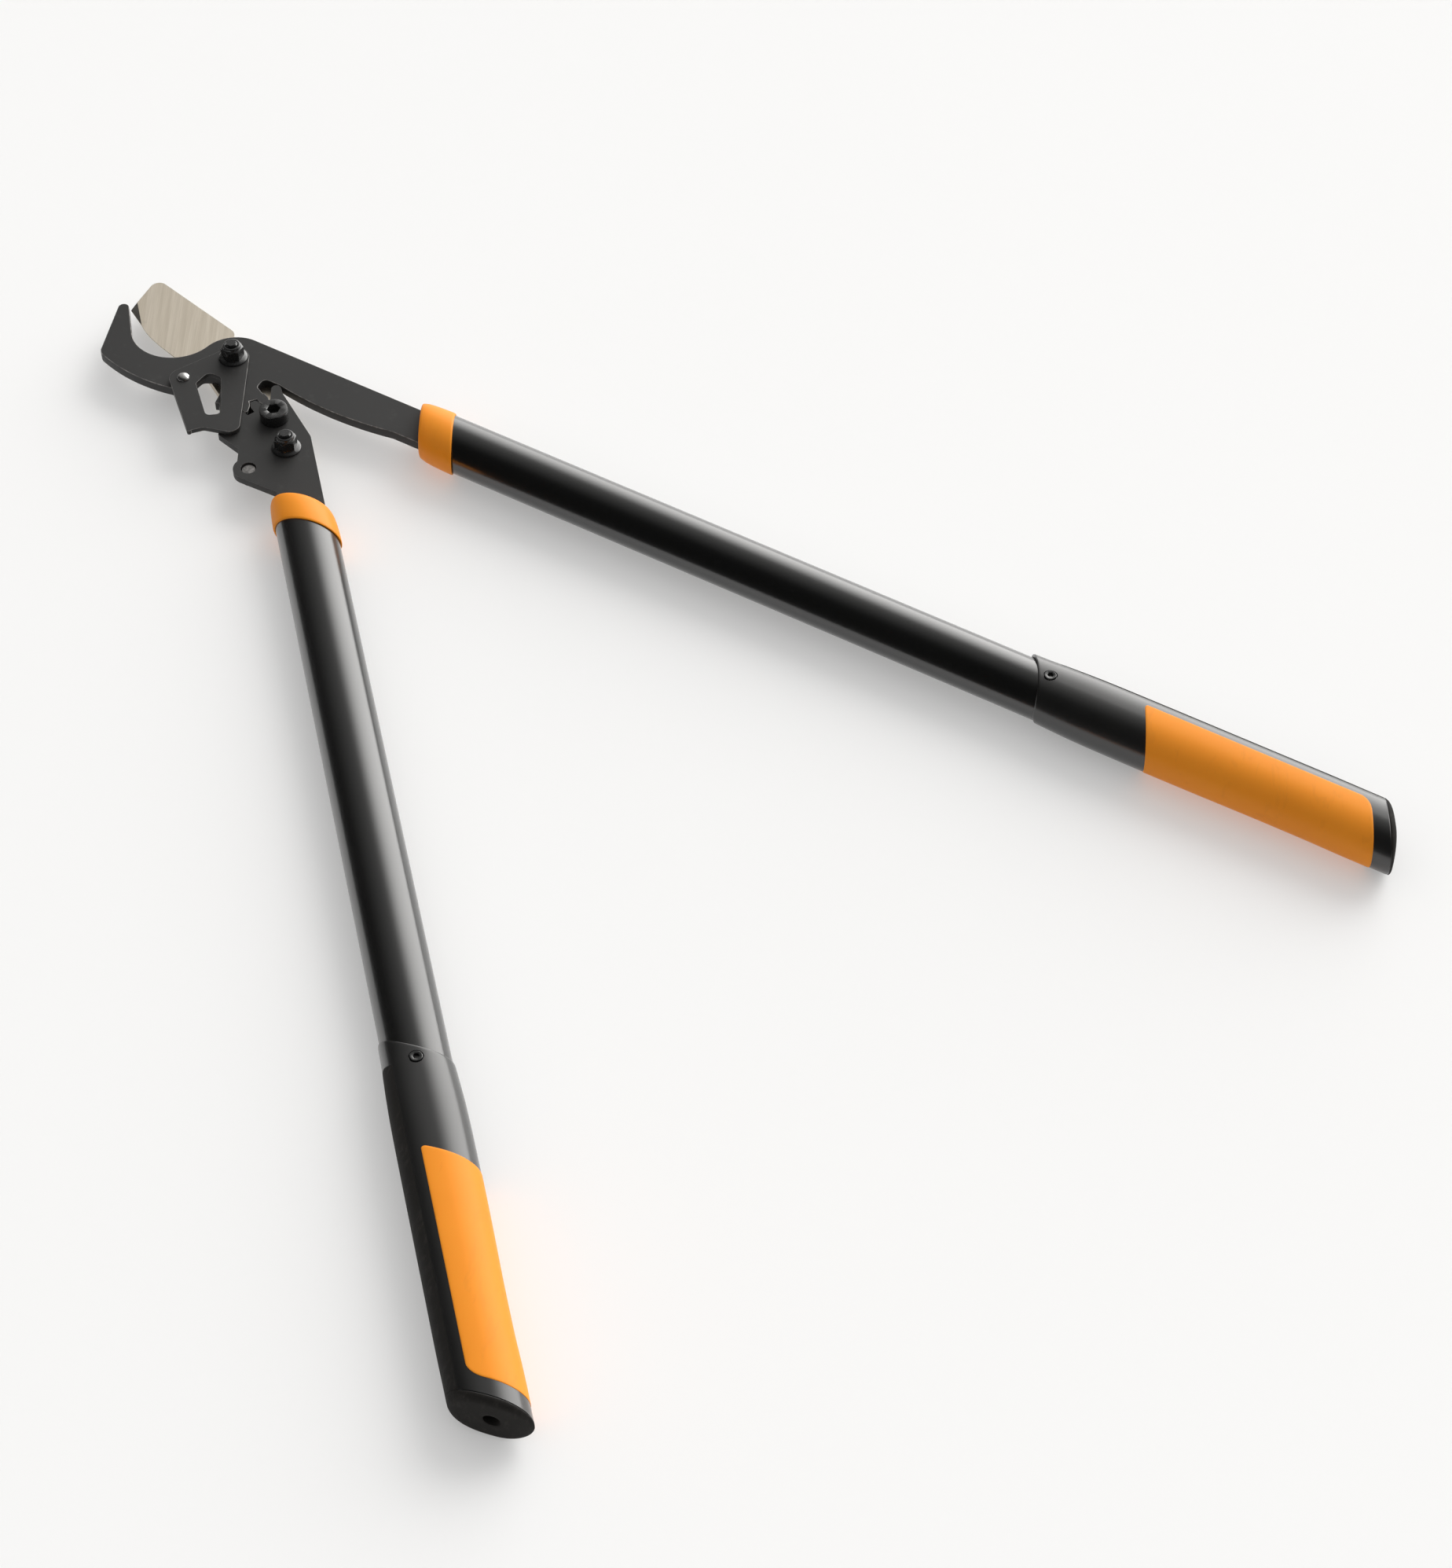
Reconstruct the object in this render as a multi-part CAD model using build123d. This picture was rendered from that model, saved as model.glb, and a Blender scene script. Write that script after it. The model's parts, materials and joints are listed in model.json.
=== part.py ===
"""Geared two-handed pruning shears: a hook plate and a bypass blade on a main
pivot, a toothed lever plate that rolls on the hook plate's teeth, and two long
oval handles with soft grips.  Millimetres, +Z up, the tool lying flat.

The model is drawn with the main pivot at the origin, the hook handle along +X
and z = 0 at the middle of the hook plate, and is moved at the end so that its
origin is at the bottom centre of the whole tool."""
from build123d import *
import os
from math import acos, atan2, copysign, cos, degrees, hypot, pi, radians, sin, sqrt, tan

# ---------------------------------------------------------------- gear pair
pivot_distance = 70.0       # main pivot to lever pivot
pivot_angle = -32.6         # direction of the lever pivot, at rest
hook_tooth_count = 21       # teeth of a full ring on the hook plate
lever_tooth_count = 22      # teeth of a full ring on the lever plate
pressure_angle = 18.0
backlash = 0.34             # play between the flanks at the pitch line
hook_addendum = 1.25        # in modules, as the next three
hook_dedendum = 0.95
lever_addendum = 0.80
lever_dedendum = 1.40
tooth_foot = 2.0            # how far a tooth is drawn on below its root circle
tooth_phase = -3.7          # first gap's middle, from the line of the pivots

# ---------------------------------------------------------------- layers
hook_thickness = 5.0
guide_thickness = 2.5
lever_thickness = 3.6
blade_thickness = 3.6
slide_gap = 0.10            # between faces that slide on each other
guide_gap = 0.20            # between the guide plate and the lever plate
bore_fit = 0.05             # radial clearance of a turning fit

# ---------------------------------------------------------------- hook plate
arm_half_width = 10.0
throat_radius = 22.0
throat_angle = 172.6        # direction of the throat's middle from the main pivot
hook_tip = (-71.9, 4.4)
hook_tip_radius = 2.75
heel = (-57.3, -24.0)
heel_radius = 5.8
heel_end_angle = 254.0
hook_belly = (-36.5, -33.6)
hook_lower_end = (-15.1, -31.8)
relief_corners = ((-7.4, -31.0), (-6.8, -17.0), (-1.5, -14.2), (6.0, -15.0))    # below the window
relief_radii = (2.0, 3.0, 4.0, 3.0)
sector_margin = 0.55        # of a pitch that the root circle runs past the last tooth
notch_wall_angle = -24.3    # wall of the notch that takes the stop finger
notch_depth = 23.0          # from the main pivot to the notch's inner corner
notch_top = (20.6, -2.7)
notch_mouth = 30.0
notch_radii = (2.3, 2.6)
arm_belly = (57.0, -5.3)
arm_belly_end = 97.0
arm_tang = 62.0             # how far an arm reaches into its handle

# ---------------------------------------------------------------- guide plate
rivet_place = (-12.4, -24.7)
rivet_head_radius = 3.1
rivet_head_height = 1.7
rivet_radius = 2.0
guide_lobe_radius = 7.0
guide_pivot_radius = 7.9
prong = (12.4, -53.7)
prong_radius = 1.1
guide_heel = (27.4, -40.6)
guide_heel_radius = 5.0
guide_heel_end_angle = -62.0
guide_underside = (17.4, -48.6)     # inner corner between the heel and the prong
guide_underside_radius = 3.0
prong_end_angle = 15.0
window_corners = ((-4.7, -24.8), (-4.2, -15.0), (3.4, -15.0), (18.8, -36.6), (13.2, -41.0))
window_radii = (1.6, 3.4, 3.0, 2.4, 2.6)

# ---------------------------------------------------------------- blade
blade_tip = (-71.6, 9.1)
blade_nose = (-74.6, 35.4)
blade_nose_radius = 4.5
blade_spine_end = (-16.0, 22.2)
blade_heel_radius = 5.0
blade_inner = (-9.0, 8.0)
blade_edge_points = ((-59.6, 2.3), (-52.0, -2.0), (-43.8, -5.0), (-31.2, -8.4), (-19.0, -12.2))
blade_boss_radius = 14.5
tang_end_radius = 11.5
bevel_width = 8.0
bevel_depth = 3.0
facet_start = (-73.0, 16.2)     # facet at the tip, from here to the edge's start
facet_slope = 6.0
facet_block = 80.0          # side of the block that cuts the facet

# ---------------------------------------------------------------- lever plate
lever_arm_top = 10.9        # inner edge of the lever arm, from the handle axis
lever_arm_low = -10.2
finger_room = 24.1          # from the main pivot to the tip of the stop finger, when it points there
finger_lean = -2.4          # of the finger's tip from its tooth's middle
finger_tip_radius = 2.4
finger_root = (1.05, 128.2)     # beyond the tip circle, and direction from the lever pivot
lever_shoulder = (5.3, 12.9)    # from the lever pivot, as the next places
lever_shoulder_radius = 8.0
lever_heel = (1.5, 192.0)       # beyond the tip circle, and direction from the lever pivot
lever_root_share = 0.45     # of a pitch that the root circle runs past the last tooth
lever_waist = (-19.4, -12.7)
waist_radii = (1.4, 3.6)
finger_root_radius = 1.6
flank_reach = 1.6           # of the finger's curved flank beyond the pitch circle
lobe_side_angle = 172.0     # where the lobe meets the waist
neck_start = -12.0          # along the lever handle, where the lobe's edge meets the arm
lobe_place = (-7.5, -21.0)
lobe_radius = 7.6
lobe_hole_radius = 3.8
lobe_pin_recess = 1.0
cap_place = (-17.3, 14.3)
cap_radius = 7.0
cap_height = 6.5
cap_hex = 5.8
cap_hex_depth = 4.0
cap_thread_radius = 4.0

# ---------------------------------------------------------------- fasteners
main_shank_radius = 4.0
lever_shank_radius = 4.0
thread_radius = 3.0
nut_flange_radius = 7.2
nut_flange_height = 1.3
nut_flats = 10.0
nut_height = 7.2
nut_collar_radius = 4.4
nut_collar_height = 1.3
nut_collar_round = 0.6
nut_flange_slope = 0.6      # share of the flange's height that its chamfer takes
thread_end = 1.2            # of the thread above the nut
thread_edge = 0.6
head_flange_radius = 8.0
head_flange_height = 1.4
head_flats = 13.0
washer_radius = 8.5
washer_thickness = 1.2
rest_height = 13.5          # hook plate's middle above the surface it lies on

# ---------------------------------------------------------------- travel
close_turn = 32.0           # of the lever handle from rest until it is closed
lug_reach = 17.0
lug_radius = 4.0
lug_gap = 0.3
cap_edge = 0.7

# ---------------------------------------------------------------- handles
handle_offset = 8.1         # hook handle axis above the main pivot
collar_start = 106.9        # main pivot to the collar's front, along the axis
lever_collar_start = 41.8   # lever pivot to the collar's front
lever_axis_offset = 1.4
handle_angle = -46.5        # lever handle from the hook handle, at rest
cut_slope = 0.55            # slant of the cuts at a handle's front end
cut_reach = 30.0            # how far the cutting blocks reach beyond a handle's axis
tube_half_width = 14.35
tube_half_height = 11.65
tube_wall = 1.6
tube_start = 8.0
tube_end = 425.0
collar_stations = ((0.0, -0.55, -0.65), (8.0, 0.65, 0.55), (19.5, 1.05, 0.85))   # beyond the tube
insert_end = 70.0
grip_start = 336.8
grip_start_slope = 0.56
grip_end = 516.0
grip_end_slope = 0.58
grip_end_radius = 4.0
inlay_thickness = 1.2
inlay_start = 393.3
inlay_start_slope = 0.54
inlay_end = 504.4
inlay_end_slope = 0.55
inlay_edge = -6.8
inlay_front_radius = 2.0
inlay_rear_radius = 5.0
screw_place = (345.0, -0.9)
screw_head_radius = 3.05
screw_head_height = 1.9
screw_head_edge = 0.4
screw_seat = 11.3           # height of the screw head's underside above the axis
screw_radius = 1.75
screw_end = 1.0             # of the screw inside the tube's wall
screw_hex = 2.6
screw_hex_depth = 1.2
hang_bore_radius = 3.2
hang_bore_depth = 16.0
hang_bore_offset = -0.4

# stations of the grip: place, and how far it stands out beyond the tube at the palm side,
# at the outer side and above
grip_stations = (
    (318.0, 0.25, 0.85, 0.65),
    (338.0, 0.55, 1.15, 0.85),
    (352.0, 1.25, 1.75, 1.25),
    (368.0, 1.85, 2.15, 1.65),
    (392.0, 1.95, 2.25, 1.80),
    (425.0, 1.65, 2.25, 1.85),
    (455.0, 1.15, 2.25, 1.85),
    (480.0, 1.05, 2.25, 1.85),
    (498.0, 1.35, 1.85, 1.85),
    (510.0, 1.35, 0.45, 1.85),
    (530.0, 1.15, -1.95, 1.85),
)
grip_palm_power = 2.1       # roundness of the palm side and of the outer side
grip_outer_power = 2.6
grip_section_points = 24

# ---------------------------------------------------------------- worked out
module = 2 * pivot_distance / (hook_tooth_count + lever_tooth_count)
hook_pitch_radius = module * hook_tooth_count / 2
lever_pitch_radius = module * lever_tooth_count / 2
hook_top = hook_thickness / 2
hook_bottom = -hook_thickness / 2
guide_top = hook_top + guide_thickness
lever_top = hook_top - guide_gap
lever_bottom = lever_top - lever_thickness
blade_top = hook_bottom - slide_gap
blade_bottom = blade_top - blade_thickness


def polar(radius, angle, centre=(0.0, 0.0)):
    """The point at a radius and an angle in degrees about a centre."""
    return (centre[0] + radius * cos(radians(angle)), centre[1] + radius * sin(radians(angle)))


lever_pivot = polar(pivot_distance, pivot_angle)


def from_lever(place):
    """A place on the lever plate, given from the lever pivot at rest."""
    return (lever_pivot[0] + place[0], lever_pivot[1] + place[1])


cap_centre = from_lever(cap_place)
lobe_centre = from_lever(lobe_place)


# ---------------------------------------------------------------- small helpers
def plate(sketch, bottom, thickness):
    """A flat plate of a face drawn on z = 0."""
    return Pos(0, 0, bottom) * extrude(sketch, thickness)


def disc(radius, bottom, height, centre=(0.0, 0.0)):
    return Pos(centre[0], centre[1], bottom + height / 2) * Cylinder(radius, height)


def hexagon(flats, bottom, height, centre=(0.0, 0.0)):
    face = RegularPolygon(flats / 2, 6, major_radius=False)
    return Pos(centre[0], centre[1], bottom) * extrude(face, height)


def rounded_polygon(corners, radii):
    """A face with the given corners, each rounded by its own radius."""
    outline = FilletPolyline(*corners, radius=list(radii), close=True)
    return make_face(outline)


# ---------------------------------------------------------------- gear teeth
def involute(angle):
    """The involute function of an angle in degrees."""
    return tan(radians(angle)) - radians(angle)


def half_tooth(radius, teeth):
    """Half the angle, in degrees, that a tooth takes at a radius."""
    pitch_radius = module * teeth / 2
    base_radius = pitch_radius * cos(radians(pressure_angle))
    slope = degrees(acos(min(1.0, base_radius / radius)))
    thinning = backlash / 4 / pitch_radius
    return degrees(pi / (2 * teeth) - thinning + involute(pressure_angle) - involute(slope))


def tooth_face(centre, angle, teeth, root_radius, tip_radius):
    """One tooth, reaching a little below its root circle."""
    steps = 5
    radii = [root_radius + (tip_radius - root_radius) * i / steps for i in range(steps + 1)]
    right = [polar(r, angle - half_tooth(r, teeth), centre) for r in radii]
    left = [polar(r, angle + half_tooth(r, teeth), centre) for r in radii]
    below = root_radius - tooth_foot
    foot = half_tooth(root_radius, teeth)
    outline = [
        Polyline(left[0], polar(below, angle + foot, centre), polar(below, angle - foot, centre), right[0]),
        Spline(*right),
        ThreePointArc(right[-1], polar(tip_radius, angle, centre), left[-1]),
        Spline(*left[::-1]),
    ]
    return make_face(outline)


def tangent_points(first, first_radius, second, second_radius, side):
    """Where a line touches two circles; a negative radius crosses over."""
    across, along = second[0] - first[0], second[1] - first[1]
    base = degrees(atan2(along, across))
    turn = degrees(acos((first_radius - second_radius) / hypot(across, along)))
    normal = base + side * turn
    return polar(first_radius, normal, first), polar(second_radius, normal, second)


def arc_about(centre, start, end, turn):
    """The arc about a centre from start to end; turn is +1 for anticlockwise."""
    radius = hypot(start[0] - centre[0], start[1] - centre[1])
    first = degrees(atan2(start[1] - centre[1], start[0] - centre[0]))
    last = degrees(atan2(end[1] - centre[1], end[0] - centre[0]))
    sweep = (turn * (last - first)) % 360
    return ThreePointArc(start, polar(radius, first + turn * sweep / 2, centre), end)


# ---------------------------------------------------------------- plates
boss_radius = handle_offset + arm_half_width
throat_centre = polar(boss_radius + throat_radius, throat_angle)
hook_pitch_step = 360 / hook_tooth_count
lever_pitch_step = 360 / lever_tooth_count
hook_root_radius = hook_pitch_radius - hook_dedendum * module
hook_tip_circle = hook_pitch_radius + hook_addendum * module
lever_root_radius = lever_pitch_radius - lever_dedendum * module
lever_tip_circle = lever_pitch_radius + lever_addendum * module

# the first gap of the hook plate's teeth, and the lever tooth that sits in it
gap_angle = pivot_angle + tooth_phase
hook_tooth_angles = [gap_angle + hook_pitch_step * n for n in (0.5, -0.5, -1.5)]
mate_angle = pivot_angle + 180 - tooth_phase * hook_tooth_count / lever_tooth_count
lever_tooth_angles = [mate_angle + lever_pitch_step * n for n in (0, 1, 2)]
finger_angle = mate_angle - lever_pitch_step


def hook_plate():
    """The hook, its boss, the arm into the handle and the teeth on one plate."""
    origin = (0.0, 0.0)
    arm_end = collar_start + arm_tang
    top = handle_offset + arm_half_width
    low = handle_offset - arm_half_width
    boss_start = (0.0, top)
    boss_end = polar(boss_radius, throat_angle)
    wall_start, wall_end = tangent_points(throat_centre, throat_radius, hook_tip, -hook_tip_radius, 1)
    back_start, back_end = tangent_points(hook_tip, hook_tip_radius, heel, heel_radius, -1)
    heel_end = polar(heel_radius, heel_end_angle, heel)
    sector_start = polar(hook_root_radius, hook_tooth_angles[-1] - sector_margin * hook_pitch_step)
    sector_end = polar(hook_root_radius, notch_wall_angle)
    notch_corner = polar(notch_depth, notch_wall_angle)
    mouth = (notch_mouth, notch_top[1])
    notch = FilletPolyline(sector_end, notch_corner, notch_top, mouth, radius=list(notch_radii))
    relief = FilletPolyline(hook_lower_end, *relief_corners, sector_start, radius=list(relief_radii))
    outline = [
        Line((arm_end, top), boss_start),
        arc_about(origin, boss_start, boss_end, 1),
        arc_about(throat_centre, boss_end, wall_start, -1),
        Line(wall_start, wall_end),
        arc_about(hook_tip, wall_end, back_start, 1),
        Line(back_start, back_end),
        arc_about(heel, back_end, heel_end, 1),
        ThreePointArc(heel_end, hook_belly, hook_lower_end),
        relief,
        arc_about(origin, sector_start, sector_end, 1),
        notch,
        ThreePointArc(mouth, arm_belly, (arm_belly_end, low)),
        Polyline((arm_belly_end, low), (arm_end, low), (arm_end, top)),
    ]
    face = make_face(outline)
    for angle in hook_tooth_angles:
        face += tooth_face(origin, angle, hook_tooth_count, hook_root_radius, hook_tip_circle)
    body = plate(face, hook_bottom, hook_thickness)
    body -= disc(main_shank_radius + bore_fit, hook_bottom - 1, hook_thickness + 2)
    return body - disc(rivet_radius, hook_bottom - 1, hook_thickness + 2, rivet_place)


def guide_plate():
    """The cover over the teeth, held by the main bolt and one rivet."""
    origin = (0.0, 0.0)
    edge_start, edge_end = tangent_points(origin, guide_pivot_radius, guide_heel, guide_heel_radius, 1)
    side_start, side_end = tangent_points(rivet_place, guide_lobe_radius, prong, prong_radius, -1)
    upper_start, upper_end = tangent_points(origin, guide_pivot_radius, rivet_place, guide_lobe_radius, -1)
    heel_end = polar(guide_heel_radius, guide_heel_end_angle, guide_heel)
    prong_end = polar(prong_radius, prong_end_angle, prong)
    underside = FilletPolyline(heel_end, guide_underside, prong_end, radius=[guide_underside_radius])
    outline = [
        Line(edge_start, edge_end),
        arc_about(guide_heel, edge_end, heel_end, -1),
        underside,
        arc_about(prong, prong_end, side_end, -1),
        Line(side_end, side_start),
        arc_about(rivet_place, side_start, upper_end, -1),
        Line(upper_end, upper_start),
        arc_about(origin, upper_start, edge_start, -1),
    ]
    face = make_face(outline) - rounded_polygon(window_corners, window_radii)
    body = plate(face, hook_top, guide_thickness)
    body -= disc(thread_radius, hook_top - 1, guide_thickness + 2)
    return body - disc(rivet_radius, hook_top - 1, guide_thickness + 2, rivet_place)


def guide_rivet():
    """A domed rivet through the guide plate and the hook plate."""
    shank = disc(rivet_radius, hook_bottom, guide_top - hook_bottom, rivet_place)
    ball_radius = (rivet_head_radius**2 + rivet_head_height**2) / (2 * rivet_head_height)
    centre_height = guide_top + rivet_head_height - ball_radius
    dome = Pos(rivet_place[0], rivet_place[1], centre_height) * Sphere(ball_radius)
    head = dome & disc(rivet_head_radius, guide_top, rivet_head_height, rivet_place)
    return shank + head


def blade():
    """The cutting blade below the hook plate, with its tang to the lever pivot."""
    origin = (0.0, 0.0)
    far = lever_pivot
    spine = FilletPolyline(blade_tip, blade_nose, blade_spine_end, blade_inner,
                           radius=[blade_nose_radius, blade_heel_radius])
    edge = Spline(*blade_edge_points)
    line = Line(blade_edge_points[0], blade_tip)
    head = make_face([
        spine,
        Polyline(blade_inner, origin, blade_edge_points[-1]),
        edge,
        line,
    ])
    tang_low_start, tang_low_end = tangent_points(origin, blade_boss_radius, far, tang_end_radius, -1)
    tang_top_start, tang_top_end = tangent_points(origin, blade_boss_radius, far, tang_end_radius, 1)
    tang = make_face([
        arc_about(origin, tang_top_start, tang_low_start, 1),
        Line(tang_low_start, tang_low_end),
        arc_about(far, tang_low_end, tang_top_end, 1),
        Line(tang_top_end, tang_top_start),
    ])
    body = plate(head, blade_bottom, blade_thickness)
    under = body.faces().sort_by(Axis.Z)[0]
    on_edge = [tuple(part @ 0.5)[:2] for part in (edge, line)]
    edges = [under.edges().sort_by_distance((x, y, blade_bottom))[0] for x, y in on_edge]
    body = chamfer(edges, bevel_width, bevel_depth, reference=under)
    body -= tip_facet()
    body += plate(tang + stop_lug(), blade_bottom, blade_thickness)
    body -= disc(main_shank_radius + bore_fit, blade_bottom - 1, blade_thickness + 2)
    return body - disc(lever_shank_radius, blade_bottom - 1, blade_thickness + 2, far)


def tip_facet():
    """The block above the facet that is ground on the blade's tip."""
    start, end = facet_start, blade_edge_points[0]
    along = Vector(end[0] - start[0], end[1] - start[1], 0).normalized()
    out = Vector(along.Y, -along.X, 0)
    if out.dot(Vector(blade_tip[0] - start[0], blade_tip[1] - start[1], 0)) < 0:
        out = out * -1
    normal = out * sin(radians(facet_slope)) + Vector(0, 0, cos(radians(facet_slope)))
    cut = Plane(origin=(start[0], start[1], blade_top), x_dir=along, z_dir=normal)
    return cut * Pos(0, 0, blade_thickness) * Box(facet_block, facet_block, 2 * blade_thickness)


def stop_lug():
    """The lug on the tang that the lobe pin meets when the blade is closed."""
    lobe_reach = hypot(*lobe_place)
    lobe_angle = degrees(atan2(lobe_place[1], lobe_place[0]))
    apart = lug_radius + lobe_hole_radius + lug_gap
    spread = degrees(acos((lobe_reach**2 + lug_reach**2 - apart**2) / (2 * lobe_reach * lug_reach)))
    angle = lobe_angle + close_turn * hook_tooth_count / (hook_tooth_count + lever_tooth_count) + spread
    end = polar(lug_reach, angle, lever_pivot)
    a, b = polar(lug_radius, angle - 90, lever_pivot), polar(lug_radius, angle + 90, lever_pivot)
    c, d = polar(lug_radius, angle + 90, end), polar(lug_radius, angle - 90, end)
    return make_face([Line(d, a), Line(a, b), Line(b, c), arc_about(end, c, d, -1)])


def lever_place(x, y):
    """A point given along and across the lever handle, from its collar's front."""
    origin = polar(lever_collar_start, handle_angle, lever_pivot)
    origin = polar(lever_axis_offset, handle_angle + 90, origin)
    return polar(y, handle_angle + 90, polar(x, handle_angle, origin))


def gear_plate():
    """The toothed plate on the lever pivot, with its finger, lobe and arm."""
    pivot = lever_pivot
    finger_reach = pivot_distance - finger_room
    finger_tip = polar(finger_reach - finger_tip_radius, finger_angle + finger_lean, pivot)
    finger_foot = polar(lever_tip_circle + finger_root[0], finger_root[1], pivot)
    shoulder = from_lever(lever_shoulder)
    heel_corner = polar(lever_tip_circle + lever_heel[0], lever_heel[1], pivot)
    flank_top = lever_pitch_radius + flank_reach
    flank = [flank_top + (lever_root_radius - flank_top) * i / 4 for i in range(5)]
    flank_points = [polar(r, finger_angle + half_tooth(r, lever_tooth_count), pivot) for r in flank]
    side_start, side_end = tangent_points(flank_points[0], 0.0, finger_tip, finger_tip_radius, 1)
    root_start, root_end = tangent_points(finger_tip, finger_tip_radius, finger_foot, 0.0, 1)
    root_a = flank_points[-1]
    root_b = polar(lever_root_radius, lever_tooth_angles[-1] + lever_pitch_step * lever_root_share, pivot)
    neck = lever_place(neck_start, lever_arm_low)
    lobe_low, arm_low = tangent_points(lobe_centre, lobe_radius, neck, 0.0, -1)
    lobe_side = polar(lobe_radius, lobe_side_angle, lobe_centre)
    waist = FilletPolyline(root_b, heel_corner, from_lever(lever_waist), lobe_side, radius=list(waist_radii))
    outline = [
        Spline(*flank_points[::-1]),
        Line(side_start, side_end),
        arc_about(finger_tip, side_end, root_start, -1),
        FilletPolyline(root_start, finger_foot, shoulder, lever_place(0.0, lever_arm_top),
                       radius=[finger_root_radius, lever_shoulder_radius]),
        Polyline(lever_place(0.0, lever_arm_top), lever_place(arm_tang, lever_arm_top),
                 lever_place(arm_tang, lever_arm_low), neck),
        Line(arm_low, lobe_low),
        arc_about(lobe_centre, lobe_low, lobe_side, -1),
        waist,
        arc_about(pivot, root_b, root_a, -1),
    ]
    face = make_face(outline)
    for angle in lever_tooth_angles:
        face += tooth_face(pivot, angle, lever_tooth_count, lever_root_radius, lever_tip_circle)
    body = plate(face, lever_bottom, lever_thickness)
    body -= disc(lever_shank_radius + bore_fit, lever_bottom - 1, lever_thickness + 2, pivot)
    body -= disc(cap_thread_radius, lever_bottom - 1, lever_thickness + 2, cap_centre)
    return body - disc(lobe_hole_radius, lever_bottom - 1, lever_thickness + 2, lobe_centre)


def stop_cap():
    """The low socket screw that meets the guide plate when the tool is open."""
    head = disc(cap_radius, lever_top, cap_height, cap_centre)
    head = chamfer(head.edges().group_by(Axis.Z)[-1], cap_edge)
    head -= hexagon(cap_hex, lever_top + cap_height - cap_hex_depth, cap_hex_depth, cap_centre)
    return head + disc(cap_thread_radius, lever_bottom, lever_thickness, cap_centre)


def lobe_pin():
    """The pin pressed into the lobe, reaching down beside the tang."""
    return disc(lobe_hole_radius, blade_bottom, lever_top - lobe_pin_recess - blade_bottom, lobe_centre)


# ---------------------------------------------------------------- fasteners
def lock_nut(seat, centre):
    """A flanged hexagon lock nut with a round collar, resting on a height."""
    flange = disc(nut_flange_radius, seat, nut_flange_height, centre)
    flange = chamfer(flange.edges().group_by(Axis.Z)[-1], nut_flange_height * nut_flange_slope)
    collar = disc(nut_collar_radius, seat, nut_height + nut_collar_height, centre)
    collar = fillet(collar.edges().group_by(Axis.Z)[-1], nut_collar_round)
    nut = flange + hexagon(nut_flats, seat, nut_height, centre) + collar
    return nut - disc(thread_radius, seat - 1, nut_height + nut_collar_height + 2, centre)


def pivot_bolt(shank_radius, shank_top, washer_seat, thread_top, centre):
    """A flanged hexagon bolt whose plain shank is a pivot."""
    head_seat = washer_seat - washer_thickness
    flange = disc(head_flange_radius, head_seat - head_flange_height, head_flange_height, centre)
    head_height = head_seat + rest_height
    head = hexagon(head_flats, -rest_height, head_height, centre)
    shank = disc(shank_radius, head_seat, shank_top - head_seat, centre)
    thread = disc(thread_radius, head_seat, thread_top - head_seat, centre)
    thread = chamfer(thread.edges().group_by(Axis.Z)[-1], thread_edge)
    return head + flange + shank + thread


def washer(seat, hole_radius, centre, thickness=washer_thickness, radius=washer_radius):
    ring = disc(radius, seat - thickness, thickness, centre)
    return ring - disc(hole_radius, seat - thickness - 1, thickness + 2, centre)


# ---------------------------------------------------------------- one handle
# drawn along +X from the collar's front, with the palm side at +Y
def oval_bar(half_width, half_height, start, end):
    """A straight oval bar along a handle."""
    return extrude(Plane.YZ.offset(start) * Ellipse(half_width, half_height), end - start)


def between_cuts(start, start_slope, end, end_slope, low=-cut_reach):
    """The outline between two slanting cuts across a handle, as four corners."""
    return (
        (start + start_slope * low, low),
        (end + end_slope * low, low),
        (end + end_slope * cut_reach, cut_reach),
        (start + start_slope * cut_reach, cut_reach),
    )


def slanted_block(start, start_slope, end, end_slope):
    corners = between_cuts(start, start_slope, end, end_slope)
    return plate(make_face(Polyline(*corners, close=True)), -cut_reach, 2 * cut_reach)


def arm_slot(arm):
    """The room that a plate's arm takes inside a handle."""
    low, high, bottom, top = arm
    block = Box(arm_tang + cut_reach, high - low, top - bottom, align=Align.MIN)
    return Pos(-cut_reach, low, bottom) * block


def handle_tube():
    wall = oval_bar(tube_half_width, tube_half_height, -cut_reach, tube_end)
    wall -= oval_bar(tube_half_width - tube_wall, tube_half_height - tube_wall, -cut_reach - 1, tube_end + 1)
    wall &= slanted_block(tube_start, cut_slope, tube_end, 0.0)
    return wall - screw_stem() - screw_head()


def handle_collar(arm):
    """The ring over the tube's end, with the slot for the arm."""
    stretch = sqrt(1 + cut_slope**2)
    sections = [
        Plane(origin=(x, 0, 0), x_dir=(cut_slope, 1, 0), z_dir=(1, -cut_slope, 0))
        * Ellipse((tube_half_width + beside) * stretch, tube_half_height + above)
        for x, beside, above in collar_stations
    ]
    ring = loft(sections)
    bore = oval_bar(tube_half_width, tube_half_height, -cut_reach, tube_end)
    bore &= slanted_block(tube_start, cut_slope, tube_end, 0.0)
    return ring - bore - arm_slot(arm)


def handle_insert(arm):
    """The plug inside the tube that holds the arm."""
    plug = oval_bar(tube_half_width - tube_wall, tube_half_height - tube_wall, -cut_reach, insert_end)
    plug &= slanted_block(tube_start, cut_slope, insert_end, 0.0)
    return plug - arm_slot(arm)


def grip_section(x, palm, outer, height, inset):
    """One section of the grip, rounder on the palm side."""
    points = []
    for i in range(grip_section_points):
        turn = 2 * pi * i / grip_section_points
        c, s = cos(turn), sin(turn)
        power = grip_palm_power if c > 0 else grip_outer_power
        width = tube_half_width + (palm if c > 0 else outer) - inset
        across = width * copysign(abs(c) ** (2 / power), c)
        up = (tube_half_height + height - inset) * copysign(abs(s) ** (2 / power), s)
        points.append((x, across, up))
    return make_face(Spline(*points, periodic=True))


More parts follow.
